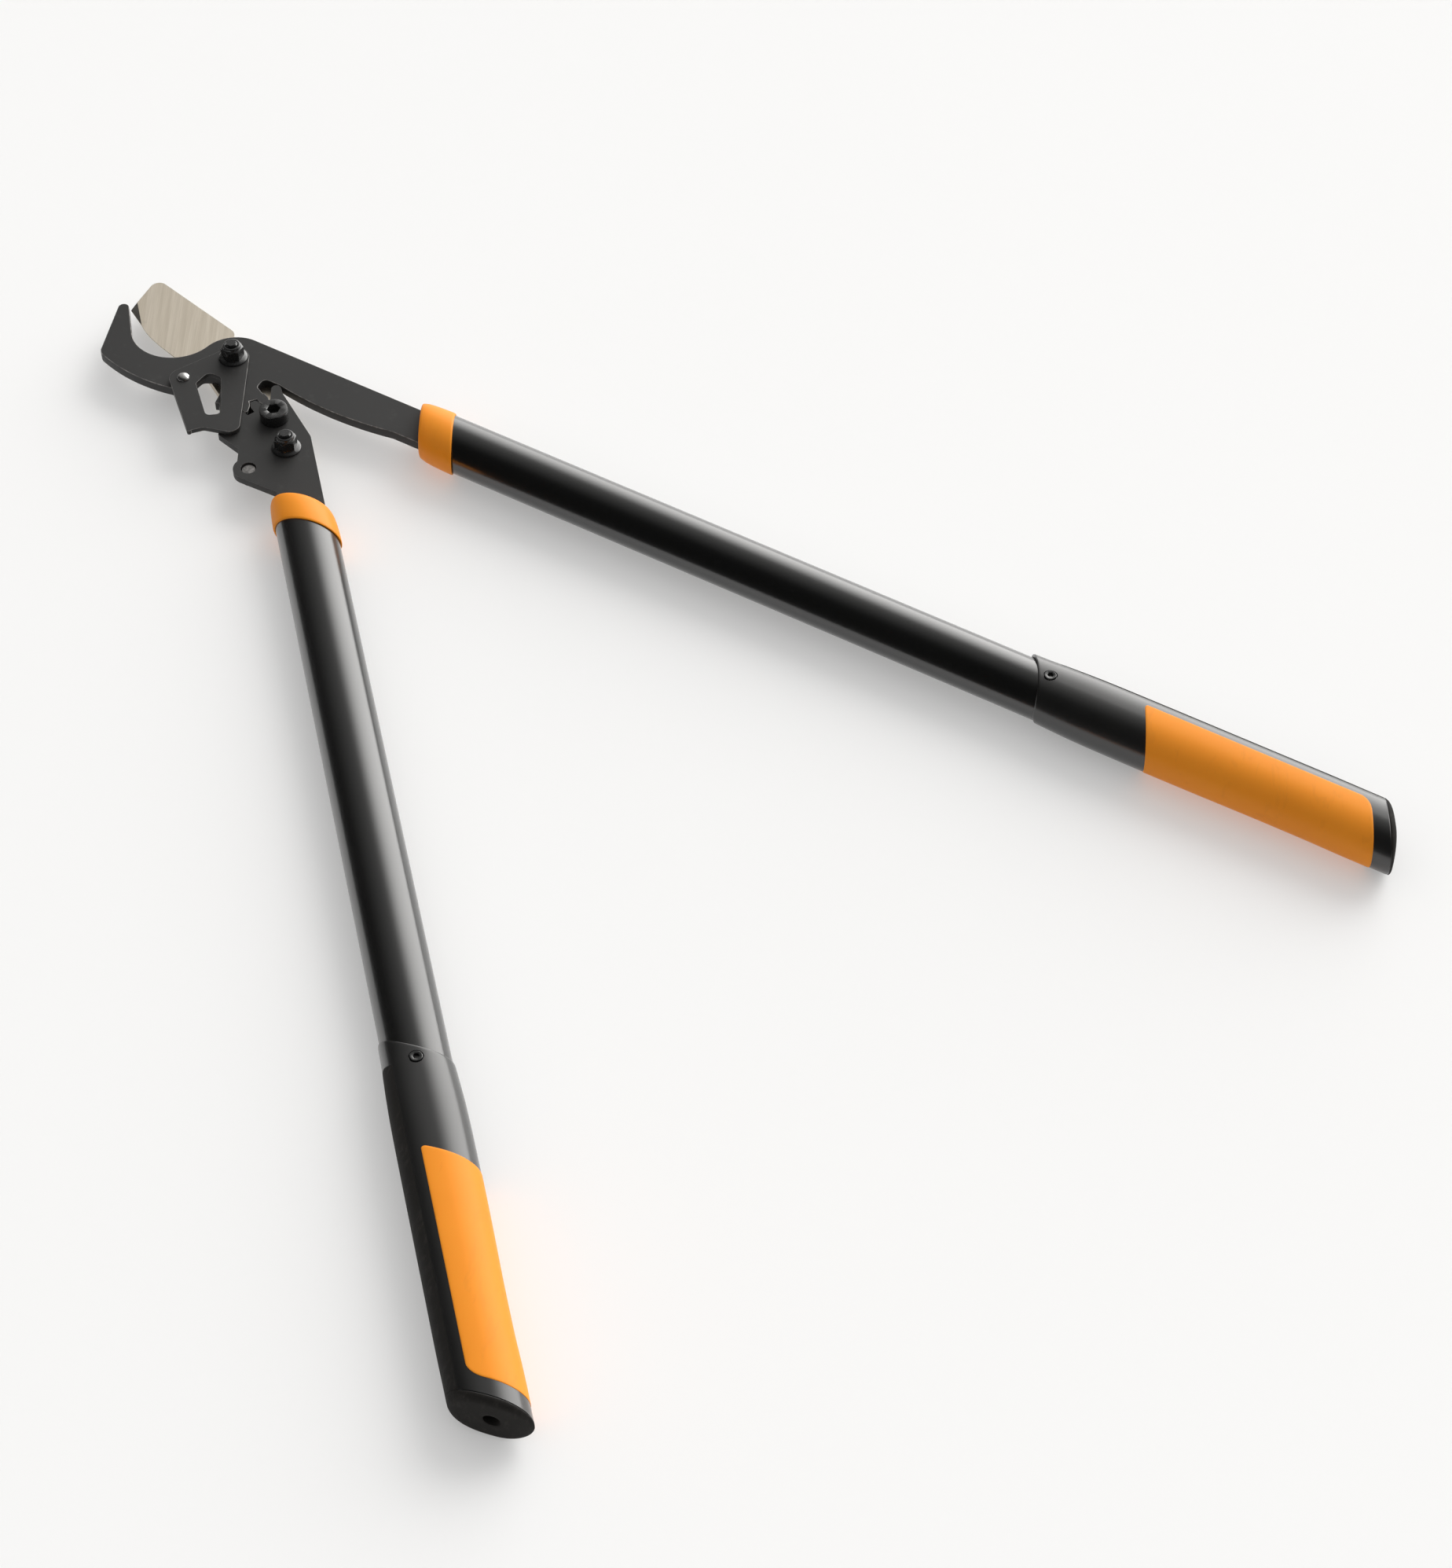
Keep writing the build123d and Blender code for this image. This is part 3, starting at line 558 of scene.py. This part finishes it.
def collar_piece(handle, arm):
    """The orange ring with rounded ends and a slot round the arm."""
    outline = (
        (0.0, 12.9, 10.1), (0.25, 13.35, 10.55), (0.8, 13.75, 10.95), (1.8, 14.1, 11.3),
        (4.0, 14.6, 11.8), (8.0, 15.0, 12.2), (13.0, 15.25, 12.4), (18.2, 15.4, 12.5),
        (19.0, 15.32, 12.42), (19.4, 15.1, 12.2), (19.5, 14.8, 11.95),
        (19.5, 14.45, 11.75), (15.0, TUBE[0], TUBE[1]), (8.0, TUBE[0], TUBE[1]),
    )
    low, high, bottom, top = arm
    rings = [oval_ring(handle, x, CUT_SLOPE, w, h) for x, w, h in outline]
    rings.append(slot_ring(handle, 8.0, CUT_SLOPE, low, high, bottom, top))
    rings.append(slot_ring(handle, 0.6, CUT_SLOPE, low, high, bottom, top))
    rings.append(slot_ring(handle, 0.0, CUT_SLOPE, low - 0.4, high + 0.4, bottom - 0.4, top + 0.4))
    mesh = skin(handle.named("collar_look"), rings, loop=True)
    name = handle.named("collar_look")
    add_piece(name, mesh, handle.body, "orange_plastic", handle.named("collar"), "orange_collar")


def grip_sizes(x):
    """Palm side, outer side and upper half widths of the grip at a place along it."""
    stations = GRIP_STATIONS
    x = max(stations[0][0], min(stations[-1][0] - 1e-6, x))
    k = max(i for i, s in enumerate(stations) if s[0] <= x)
    a, b = stations[k], stations[k + 1]
    before, after = stations[max(k - 1, 0)], stations[min(k + 2, len(stations) - 1)]
    t = (x - a[0]) / (b[0] - a[0])
    sizes = []
    for n in (1, 2, 3):
        span = b[0] - a[0]
        slope_a = (b[n] - before[n]) / (b[0] - before[0]) * span
        slope_b = (after[n] - a[n]) / (after[0] - a[0]) * span
        value = a[n] * (2 * t**3 - 3 * t**2 + 1) + slope_a * (t**3 - 2 * t**2 + t)
        sizes.append(value + b[n] * (3 * t**2 - 2 * t**3) + slope_b * (t**3 - t**2))
    return sizes


def grip_point(x0, slope, angle, inset):
    """A point on the grip's surface in handle axes, on a slanted ring, at an angle round the section."""
    c, s = cos(angle), sin(angle)
    x = x0
    for _ in range(3):
        palm, outer, height = grip_sizes(x)
        width, power = (palm, PALM_POWER) if c > 0 else (outer, OUTER_POWER)
        y = (width - inset) * copysign(abs(c) ** (2 / power), c)
        z = (height - inset) * copysign(abs(s) ** (2 / power), s)
        x = x0 + slope * y
    return x, y, z


def angle_at(x0, slope, y):
    """The angle on the upper half where the grip's surface is at a given y, on the outer side."""
    _, outer, _ = grip_sizes(x0 + slope * y)
    return pi - asin_power(-y / outer)


def asin_power(share):
    """The angle from the outer point whose y is this share of the half width."""
    return atan2(sqrt(max(0.0, 1 - share ** OUTER_POWER)), share ** (OUTER_POWER / 2))


PALM_STEPS, BAND_STEPS, OUTER_STEPS = 44, 8, 18     # of the upper half of a grip's section


def section_angles(x0, slope):
    """Angles round a section with points on the inlay's and the pad's edges, from the palm side up."""
    inlay, pad = angle_at(x0, slope, INLAY_EDGE), angle_at(x0, slope, PAD_EDGE)
    marks = [(0.0, inlay, PALM_STEPS), (inlay, pad, BAND_STEPS), (pad, pi, OUTER_STEPS)]
    upper = [a + (b - a) * i / n for a, b, n in marks for i in range(n)]
    return upper + [pi] + [2 * pi - a for a in upper[:0:-1]]


SHELL_INSET = 0.22      # the shell lies this much below the inlay's surface


def grip_shell_piece(handle):
    """The sleeve: front lip, swelling body, rounded rim and the hanging hole."""
    rings = []

    def slope_at(x0):
        share = max(0.0, min(1.0, (x0 - GRIP_START) / (GRIP_END - GRIP_START)))
        return GRIP_START_SLOPE + (GRIP_END_SLOPE - GRIP_START_SLOPE) * share

    def body_ring(x0, inset, dish=0.0):
        slope = slope_at(x0)
        ring = []
        for a in section_angles(x0, slope):
            x, y, z = grip_point(x0, slope, a, inset)
            ring.append(handle.point(x + dish * abs(sin(a)) ** 1.5, y, z))
        return ring

    def oval(x0, slope, half_width, half_height, dish=0.0):
        ring = []
        for a in section_angles(x0, slope):
            y, z = half_width * cos(a), half_height * sin(a)
            ring.append(handle.point(x0 + slope * y + dish * abs(sin(a)) ** 1.5, y, z))
        return ring

    def crown(y):
        """How far the end falls away at a place across it."""
        return RIM_CROWN * max(0.0, y / TUBE[0]) ** 2

    bore_gap = 0.45
    rings.append(oval(TUBE_END, 0.0, *TUBE))
    rings.append(oval(GRIP_START + 12.0, GRIP_START_SLOPE, *TUBE))
    rings.append(oval(GRIP_START + 4.0, GRIP_START_SLOPE, TUBE[0] + 0.02, TUBE[1] + 0.02))
    rings.append(oval(GRIP_START + 3.8, GRIP_START_SLOPE, TUBE[0] + bore_gap, TUBE[1] + bore_gap, GRIP_DISH))
    rings.append(oval(GRIP_START + 0.2, GRIP_START_SLOPE, TUBE[0] + bore_gap, TUBE[1] + bore_gap, GRIP_DISH))
    for step, inset in ((0.0, 0.55), (0.08, 0.42), (0.3, 0.28), (0.8, SHELL_INSET)):
        rings.append(body_ring(GRIP_START + step, inset, GRIP_DISH))
    first_body = len(rings)
    places = []
    x0 = GRIP_START + 2.0
    while x0 < GRIP_END - RIM_DEPTH - 1.0:
        places.append(x0)
        x0 += 2.6
    for x0 in places:
        fade = max(0.0, 1 - (x0 - GRIP_START) / 14.0)
        rings.append(body_ring(x0, SHELL_INSET, GRIP_DISH * fade))
    # the rim: a small groove, then the rounded end, wider on the outer side
    rings.append(body_ring(GRIP_END - RIM_DEPTH - 0.5, SHELL_INSET))
    rings.append(body_ring(GRIP_END - RIM_DEPTH - 0.15, SHELL_INSET + 0.22))
    rings.append(body_ring(GRIP_END - RIM_DEPTH + 0.1, SHELL_INSET + 0.10))
    rim_start = len(rings) - 1
    steps = 12
    for i in range(1, steps + 1):
        turn = pi / 2 * i / steps
        x0 = GRIP_END - RIM_DEPTH * (1 - sin(turn))
        ring = []
        for a in section_angles(x0, slope_at(x0)):
            inset = SHELL_INSET + RIM_DEPTH * (1 - cos(turn))
            x, y, z = grip_point(x0, slope_at(x0), a, inset)
            ring.append(handle.point(x - crown(y) * sin(turn), y, z))
        rings.append(ring)
    # the end face, gently crowned, down to the hanging hole
    place, radius, depth = HANG_HOLE
    edge = [grip_point(GRIP_END, GRIP_END_SLOPE, a, SHELL_INSET + RIM_DEPTH)
            for a in section_angles(GRIP_END, GRIP_END_SLOPE)]
    hole = [(place + (radius + 0.35) * cos(a), (radius + 0.35) * sin(a))
            for a in section_angles(GRIP_END, GRIP_END_SLOPE)]
    for share in (0.3, 0.6, 0.85, 1.0):
        ring = []
        for (x, y, z), (hy, hz) in zip(edge, hole):
            ny, nz = y + (hy - y) * share, z + (hz - z) * share
            ring.append(handle.point(GRIP_END + GRIP_END_SLOPE * ny - crown(ny), ny, nz))
        rings.append(ring)
    for r, back in ((radius + 0.08, 0.12), (radius, 0.4), (radius, depth)):
        ring = []
        for a in section_angles(GRIP_END, GRIP_END_SLOPE):
            y, z = place + r * cos(a), r * sin(a)
            lean = GRIP_END_SLOPE * y if back < 1 else 0.0
            ring.append(handle.point(GRIP_END + lean - back, y, z))
        rings.append(ring)
    mesh = skin(handle.named("grip_look"), rings)
    count = len(rings[0])
    outer_low = PALM_STEPS + BAND_STEPS
    padded_from = first_body + sum(1 for x0 in places if x0 <= PAD_START)
    for polygon in mesh.polygons:
        row, column = divmod(polygon.index, count)
        on_flank = outer_low <= column < count - outer_low
        if row >= len(rings) - 1:
            continue
        if row >= rim_start or (row >= padded_from and on_flank):
            polygon.material_index = 1
    cut_screw_hole(handle, mesh)
    name = handle.named("grip_look")
    add_piece(name, mesh, handle.body, "black_grip", handle.named("grip"), "grip_shell", "grip_pad")


def cut_screw_hole(handle, mesh):
    """The round recess over the screw, cut through the sleeve."""
    x, y = SCREW
    centre = handle.point(x, y, 0)
    cutter_mesh = turned("cutter", centre, [(3.3, SCREW_SEAT - 0.1), (3.3, 16.0)], 48)
    cutter = bpy.data.objects.new("cutter", cutter_mesh)
    holder = bpy.data.objects.new("holder", mesh)
    for made in (cutter, holder):
        bpy.context.scene.collection.objects.link(made)
    boolean = holder.modifiers.new("hole", "BOOLEAN")
    boolean.operation = "DIFFERENCE"
    boolean.solver = "EXACT"
    boolean.object = cutter
    graph = bpy.context.evaluated_depsgraph_get()
    cut = bpy.data.meshes.new_from_object(holder.evaluated_get(graph))
    # the same mesh takes the cut shape, so its name stays
    bm = bmesh.new()
    bm.from_mesh(cut)
    bm.to_mesh(mesh)
    bm.free()
    bpy.data.objects.remove(holder)
    bpy.data.objects.remove(cutter)
    bpy.data.meshes.remove(cut)
    smooth(mesh)


def inlay_piece(handle):
    """The orange patch over the palm side, with rounded corners and rounded edges."""
    rows, columns = 90, 110
    depth = 1.15
    round_edge = 0.55
    corner = {"front": 2.6, "rear": 5.5}
    around, along = 62.0, 108.0         # the patch's rough sizes, which scale its rounding

    def surface(u, v, inset):
        """u along and v round the patch, both 0 to 1."""
        d = min(v, 1 - v) * around
        starts = {}
        for end, r in corner.items():
            starts[end] = r - sqrt(max(0.0, r * r - (r - d) ** 2)) if d < r else 0.0
        start = INLAY_START + starts["front"]
        end = INLAY_END - starts["rear"]
        x0 = start + (end - start) * u
        slope = INLAY_START_SLOPE + (INLAY_END_SLOPE - INLAY_START_SLOPE) * u
        top = angle_at(x0, slope, INLAY_EDGE)
        a = top - 2 * top * v
        return handle.point(*grip_point(x0, slope, a, inset))

    def shares(count, near):
        """Places from 0 to 1, closer together at both ends."""
        inner = [near + (1 - 2 * near) * i / count for i in range(count + 1)]
        return [0.0, near * 0.12, near * 0.4] + inner + [1 - near * 0.4, 1 - near * 0.12, 1.0]

    us, vs = shares(columns, 0.006), shares(rows, 0.012)

    def edge_inset(u, v):
        e = min(min(u, 1 - u) * along, min(v, 1 - v) * around)
        if e >= round_edge:
            return 0.0
        return round_edge - sqrt(round_edge**2 - (round_edge - e) ** 2)

    bm = bmesh.new()
    outer = [[bm.verts.new(surface(u, v, edge_inset(u, v))) for u in us] for v in vs]
    inner = [[bm.verts.new(surface(u, v, depth)) for u in us] for v in vs]
    for grid, flip in ((outer, False), (inner, True)):
        for r in range(len(vs) - 1):
            for c in range(len(us) - 1):
                corners = (grid[r][c], grid[r][c + 1], grid[r + 1][c + 1], grid[r + 1][c])
                bm.faces.new(corners[::-1] if flip else corners)
    last_r, last_c = len(vs) - 1, len(us) - 1
    border = [(0, c) for c in range(last_c)] + [(r, last_c) for r in range(last_r)]
    border += [(last_r, c) for c in range(last_c, 0, -1)] + [(r, 0) for r in range(last_r, 0, -1)]
    for (r, c), (r2, c2) in zip(border, border[1:] + border[:1]):
        bm.faces.new((outer[r][c], inner[r][c], inner[r2][c2], outer[r2][c2]))
    bmesh.ops.recalc_face_normals(bm, faces=bm.faces)
    mesh = bpy.data.meshes.new(handle.named("inlay_look"))
    bm.to_mesh(mesh)
    bm.free()
    smooth(mesh, radians(50))
    name = handle.named("inlay_look")
    add_piece(name, mesh, handle.body, "orange_rubber", handle.named("inlay"), "orange_inlay")


def screw_piece(handle):
    """The small socket screw at the bottom of its recess."""
    x, y = SCREW
    centre = handle.point(x, y, 0)
    top = SCREW_SEAT + 1.5
    socket = hexagon(2.6)
    profile = [
        (1.7, 9.2), (1.7, SCREW_SEAT), (2.85, SCREW_SEAT), (2.85, top - 0.5), (2.75, top - 0.2),
        (2.5, top), (1.75, top), (socket, top - 0.15), (socket, top - 1.2), (0.3, top - 1.4),
    ]
    mesh = turned(handle.named("screw_look"), centre, profile, 72)
    name = handle.named("screw_look")
    add_piece(name, mesh, handle.body, "black_fasteners", handle.named("screw"), "black_fastener")


arm_sizes = {"hook": (-10.0, 10.0, -2.5, 2.5), "lever": (-10.2, 10.9, -1.3, 2.3)}
for handle in handles:
    tube_piece(handle)
    collar_piece(handle, arm_sizes[handle.side])
    grip_shell_piece(handle)
    inlay_piece(handle)
    screw_piece(handle)
    frame["nodes"][handle.named("insert")].data.materials.clear()
    frame["nodes"][handle.named("insert")].data.materials.append(finishes["nylon"])


# ---------------------------------------------------------------- plates
def plate_piece(node, body, width):
    mesh = bevelled_copy(node, width)
    add_piece(node + "_look", mesh, body, "black_plate", node, "coated_steel", "worn_edge")


plate_piece("hook_plate", "hook_side", 0.5)
plate_piece("guide_plate", "hook_side", 0.40)
plate_piece("gear_plate", "lever_side", 0.35)


def blade_piece():
    """The blade: brushed flats, with a painted dark reflection where it is ground at the tip and the bevel.
    """
    mesh = bevelled_copy("blade", 0.18, radians(50), edge_look=False)
    add_piece("blade_look", mesh, "blade_side", "blade_steel", "blade", "blade_steel", "blade_facet_painted_dark")
    # faces of the bevel and the tip's facet take the painted dark reflection
    for polygon in mesh.polygons:
        if 0.3 < abs(polygon.normal.z) < 0.9985:
            polygon.material_index = 1


blade_piece()


# ---------------------------------------------------------------- fasteners
hook_half = (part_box("hook_plate")[1][2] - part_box("hook_plate")[0][2]) / 2 / MM


def height(node, end):
    """A CAD node's lowest (0) or highest (1) point above the hook plate's middle, in millimetres."""
    return (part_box(node)[end][2] - main_pivot.z) / MM


def lock_nut_piece(node, centre, body, turn):
    """A flanged lock nut: dished flange, chamfered hexagon and a rolled collar."""
    seat, top = height(node, 0), height(node, 1)
    flats = 10.0
    corner = flats / 2 / cos(pi / 6)
    shoulder = top - 1.3
    profile = [(3.02, seat), (7.0, seat), (7.2, seat + 0.15), (7.2, seat + 0.55), (7.0, seat + 0.8)]
    profile += [(6.4, seat + 1.05), (hexagon(flats, turn), seat + 1.5)]
    profile += [(hexagon(flats, turn), shoulder - 1.0)]
    for i in range(1, 6):
        limit = corner - 0.16 * i
        profile.append((hexagon(flats, turn, limit), shoulder - 1.0 + 0.16 * i))
    profile += [(4.75, shoulder - 0.1), (4.55, shoulder), (4.4, shoulder + 0.25), (4.4, top - 0.6)]
    for i in range(1, 6):
        a = pi / 2 * i / 5
        profile.append((3.8 + 0.6 * cos(a), top - 0.6 + 0.6 * sin(a)))
    profile += [(3.35, top), (3.1, top - 0.2), (3.02, top - 0.6)]
    base = Vector((centre.x, centre.y, main_pivot.z))
    mesh = skin(node + "_look", turned_rings(base, profile, 120), loop=True)
    add_piece(node + "_look", mesh, body, "black_fasteners", node, "black_fastener")


def bolt_piece(node, centre, body, shank_top, turn):
    """A flanged bolt: hexagon head below, plain shank, and a threaded end with a lead-in."""
    low, top = height(node, 0), height(node, 1)
    head_top = low + 4.6
    profile = [(0.5, low + 0.5), (4.6, low + 0.5), (5.0, low)]
    corner = 13.0 / 2 / cos(pi / 6)
    for i in range(6):
        profile.append((hexagon(13.0, turn, corner - 0.16 * (5 - i)), low + 0.12 * i))
    profile += [(hexagon(13.0, turn), head_top), (7.9, head_top + 0.05), (8.0, head_top + 0.3)]
    profile += [(8.0, head_top + 1.1), (7.8, head_top + 1.4), (4.0, head_top + 1.4), (4.0, shank_top)]
    profile += [(2.55, shank_top), (2.55, top - 0.5), (2.2, top), (0.4, top)]
    base = Vector((centre.x, centre.y, main_pivot.z))
    mesh = turned(node + "_look", base, profile)
    add_piece(node + "_look", mesh, body, "black_fasteners", node, "black_fastener")


def thread_tree():
    """Geometry nodes: a thread ridge swept along a helix, with its sizes as inputs."""
    tree = bpy.data.node_groups.new("thread", "GeometryNodeTree")
    sockets = tree.interface
    sockets.new_socket("Geometry", in_out="OUTPUT", socket_type="NodeSocketGeometry")
    for name, start in (("Radius", 0.0027), ("Pitch", 0.001), ("Turns", 5.0), ("Ridge", 0.0004)):
        sockets.new_socket(name, in_out="INPUT", socket_type="NodeSocketFloat").default_value = start
    sockets.new_socket("Place", in_out="INPUT", socket_type="NodeSocketVector")
    sockets.new_socket("Look", in_out="INPUT", socket_type="NodeSocketMaterial")
    nodes, links = tree.nodes, tree.links
    given = nodes.new("NodeGroupInput")
    rise = nodes.new("ShaderNodeMath")
    rise.operation = "MULTIPLY"
    links.new(given.outputs["Pitch"], rise.inputs[0])
    links.new(given.outputs["Turns"], rise.inputs[1])
    helix = nodes.new("GeometryNodeCurveSpiral")
    helix.inputs["Resolution"].default_value = 40
    links.new(given.outputs["Turns"], helix.inputs["Rotations"])
    links.new(given.outputs["Radius"], helix.inputs["Start Radius"])
    links.new(given.outputs["Radius"], helix.inputs["End Radius"])
    links.new(rise.outputs[0], helix.inputs["Height"])
    profile = nodes.new("GeometryNodeCurvePrimitiveCircle")
    profile.inputs["Resolution"].default_value = 4
    links.new(given.outputs["Ridge"], profile.inputs["Radius"])
    sweep = nodes.new("GeometryNodeCurveToMesh")
    sweep.inputs["Fill Caps"].default_value = True
    links.new(helix.outputs["Curve"], sweep.inputs["Curve"])
    links.new(profile.outputs["Curve"], sweep.inputs["Profile Curve"])
    move = nodes.new("GeometryNodeTransform")
    links.new(sweep.outputs["Mesh"], move.inputs["Geometry"])
    links.new(given.outputs["Place"], move.inputs["Translation"])
    real = nodes.new("GeometryNodeRealizeInstances")
    links.new(move.outputs["Geometry"], real.inputs["Geometry"])
    paint = nodes.new("GeometryNodeSetMaterial")
    links.new(real.outputs["Geometry"], paint.inputs["Geometry"])
    links.new(given.outputs["Look"], paint.inputs["Material"])
    result = nodes.new("NodeGroupOutput")
    links.new(paint.outputs["Geometry"], result.inputs["Geometry"])
    return tree


thread = thread_tree()


def grown(name, tree, **inputs):
    """The plain mesh that a geometry nodes tree makes with these inputs."""
    holder = bpy.data.objects.new("holder", bpy.data.meshes.new("holder"))
    bpy.context.scene.collection.objects.link(holder)
    modifier = holder.modifiers.new("grow", "NODES")
    modifier.node_group = tree
    for item in tree.interface.items_tree:
        if item.in_out == "INPUT" and item.name in inputs:
            modifier[item.identifier] = inputs[item.name]
    graph = bpy.context.evaluated_depsgraph_get()
    mesh = bpy.data.meshes.new_from_object(holder.evaluated_get(graph))
    mesh.name = name
    bpy.data.objects.remove(holder)
    return mesh


def thread_piece(node, centre, body, top):
    """The visible turns of a bolt's thread, inside and above its nut's collar."""
    turns = 4.0
    start = Vector((centre.x, centre.y, main_pivot.z + (top - 0.7 - turns) * MM))
    mesh = grown(node + "_thread", thread, Radius=0.00258, Pitch=0.001, Turns=turns, Ridge=0.00036,
                 Place=start, Look=finishes["black_fastener"])
    smooth(mesh)
    add_piece(node + "_thread", mesh, body, "black_fasteners", None, "black_fastener")


def stop_cap_piece(centre):
    """The low socket screw with a chamfered rim and a hexagon socket."""
    low, top = height("stop_cap", 0), height("stop_cap", 1)
    seat = top - 6.5
    wide = (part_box("stop_cap")[1][0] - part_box("stop_cap")[0][0]) / 2 / MM
    socket = hexagon(5.8, radians(12))
    profile = [
        (0.4, low), (4.0, low), (4.0, seat), (wide - 0.15, seat), (wide, seat + 0.15), (wide, top - 0.6),
        (wide - 0.04, top - 0.25), (wide - 0.18, top - 0.07), (wide - 0.4, top), (3.5, top),
        (socket, top - 0.3), (socket, top - 4.0), (0.3, top - 4.6),
    ]
    base = Vector((centre.x, centre.y, main_pivot.z))
    mesh = turned("stop_cap_look", base, profile, 120)
    add_piece("stop_cap_look", mesh, "lever_side", "black_fasteners", "stop_cap", "black_fastener")


def middle_of(node):
    low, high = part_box(node)
    return (Vector(low) + Vector(high)) / 2


def lobe_pin_piece(centre):
    """The pin in the lobe, with a dark gap round its turned end."""
    low, top = height("lobe_pin", 0), height("lobe_pin", 1)
    profile = [
        (0.3, low), (3.7, low), (3.7, top - 2.0), (3.35, top - 1.9),
        (3.35, top - 0.2), (3.15, top), (0.3, top),
    ]
    mesh = turned("lobe_pin_look", Vector((centre.x, centre.y, main_pivot.z)), profile)
    add_piece("lobe_pin_look", mesh, "lever_side", "black_plate", "lobe_pin", "worn_edge")


def rivet_piece():
    low, top = height("guide_rivet", 0), height("guide_rivet", 1)
    seat = top - 1.7
    profile = [(0.3, low), (2.0, low), (2.0, seat), (3.05, seat), (3.1, seat + 0.1)]
    for i in range(1, 13):
        a = pi / 2 * i / 12
        profile.append((3.1 * cos(a) ** 0.9 if i < 12 else 0.12, seat + 0.1 + 1.6 * sin(a)))
    centre = middle_of("guide_rivet")
    mesh = turned("guide_rivet_look", Vector((centre.x, centre.y, main_pivot.z)), profile)
    add_piece("guide_rivet_look", mesh, "hook_side", "bright_steel", "guide_rivet", "bright_steel")


main_centre = Vector((main_pivot.x, main_pivot.y, main_pivot.z))
lever_centre = Vector((far_pivot.x, far_pivot.y, main_pivot.z))
lock_nut_piece("main_nut", main_centre, "hook_side", radians(8))
lock_nut_piece("lever_nut", lever_centre, "blade_side", radians(20))
bolt_piece("main_bolt", main_centre, "hook_side", hook_half, radians(5))
bolt_piece("lever_bolt", lever_centre, "blade_side", height("lever_nut", 0), radians(25))
thread_piece("main_bolt", main_centre, "hook_side", height("main_bolt", 1))
thread_piece("lever_bolt", lever_centre, "blade_side", height("lever_bolt", 1))
stop_cap_piece(middle_of("stop_cap"))
lobe_pin_piece(middle_of("lobe_pin"))
rivet_piece()

for node, body, slot_name, look in (
    ("main_washer", "hook_side", "black_fasteners", "black_fastener"),
    ("lever_washer", "blade_side", "black_fasteners", "black_fastener"),
    ("lever_spacer", "blade_side", "bright_steel", "bright_steel"),
):
    add_piece(node + "_look", bevelled_copy(node, 0.2, edge_look=False), body, slot_name, node, look)


# ---------------------------------------------------------------- floor, light and camera
def floor():
    size = 6.0
    bm = bmesh.new()
    corners = [(-size, -size), (size, -size), (size, size), (-size, size)]
    bm.faces.new([bm.verts.new((x, y, floor_height - 0.0002)) for x, y in corners])
    mesh = bpy.data.meshes.new("floor")
    bm.to_mesh(mesh)
    bm.free()
    mesh.materials.append(floor_paint())
    plane = bpy.data.objects.new("floor", mesh)
    bpy.context.scene.collection.objects.link(plane)


def sun(name, strength, softness, azimuth, elevation, colour, mirrored=True):
    """A soft far light from a compass direction and a height; a fill light isn't mirrored in gloss."""
    lamp = bpy.data.lights.new(name, "SUN")
    lamp.energy = strength
    lamp.angle = radians(softness)
    lamp.color = colour
    light = bpy.data.objects.new(name, lamp)
    light.rotation_euler = (radians(90 - elevation), 0, radians(azimuth + 90))
    light.visible_glossy = mirrored
    bpy.context.scene.collection.objects.link(light)


def world_light():
    """A low white backdrop behind the tool, fading to a dark room on the camera's side."""
    world = bpy.data.worlds.new("studio")
    bpy.context.scene.world = world
    world.use_nodes = True
    nodes, links = world.node_tree.nodes, world.node_tree.links
    place = nodes.new("ShaderNodeTexCoord")
    facing = nodes.new("ShaderNodeVectorMath")
    facing.operation = "DOT_PRODUCT"
    facing.inputs[1].default_value = (0.09, 0.96, 0.27)
    links.new(place.outputs["Generated"], facing.inputs[0])
    parts = []
    for low, high, dark, bright in ((0.0, 0.85, 0.02, 0.40), (0.68, 1.0, 0.0, 3.7)):
        fade = nodes.new("ShaderNodeMapRange")
        fade.interpolation_type = "SMOOTHSTEP"
        for name, value in (("From Min", low), ("From Max", high), ("To Min", dark), ("To Max", bright)):
            fade.inputs[name].default_value = value
        links.new(facing.outputs["Value"], fade.inputs["Value"])
        parts.append(fade.outputs["Result"])
    both = nodes.new("ShaderNodeMath")
    links.new(parts[0], both.inputs[0])
    links.new(parts[1], both.inputs[1])
    links.new(both.outputs[0], nodes["Background"].inputs["Strength"])
    nodes["Background"].inputs["Color"].default_value = (1.0, 0.99, 0.97, 1)


CAMERA_PITCH = 48.61
CAMERA_HEADING = 30.8
CAMERA_LENS = 81.59
camera_data = bpy.data.cameras.new("camera")
camera_data.lens = CAMERA_LENS
camera_data.sensor_width = 36.0
camera = bpy.data.objects.new("camera", camera_data)
camera.location = main_pivot + Vector((0.8910, -1.0156, 1.1914))
camera.rotation_euler = (radians(90 - CAMERA_PITCH), 0, radians(CAMERA_HEADING))
bpy.context.scene.collection.objects.link(camera)
bpy.context.scene.camera = camera
bpy.context.scene.view_settings.view_transform = "Standard"

floor()
world_light()
sun("back_light", 0.45, 30, 78, 42, (1.0, 0.985, 0.96), mirrored=False)
sun("fill_light", 1.45, 150, 90, 82, (1.0, 1.0, 1.0), mirrored=False)
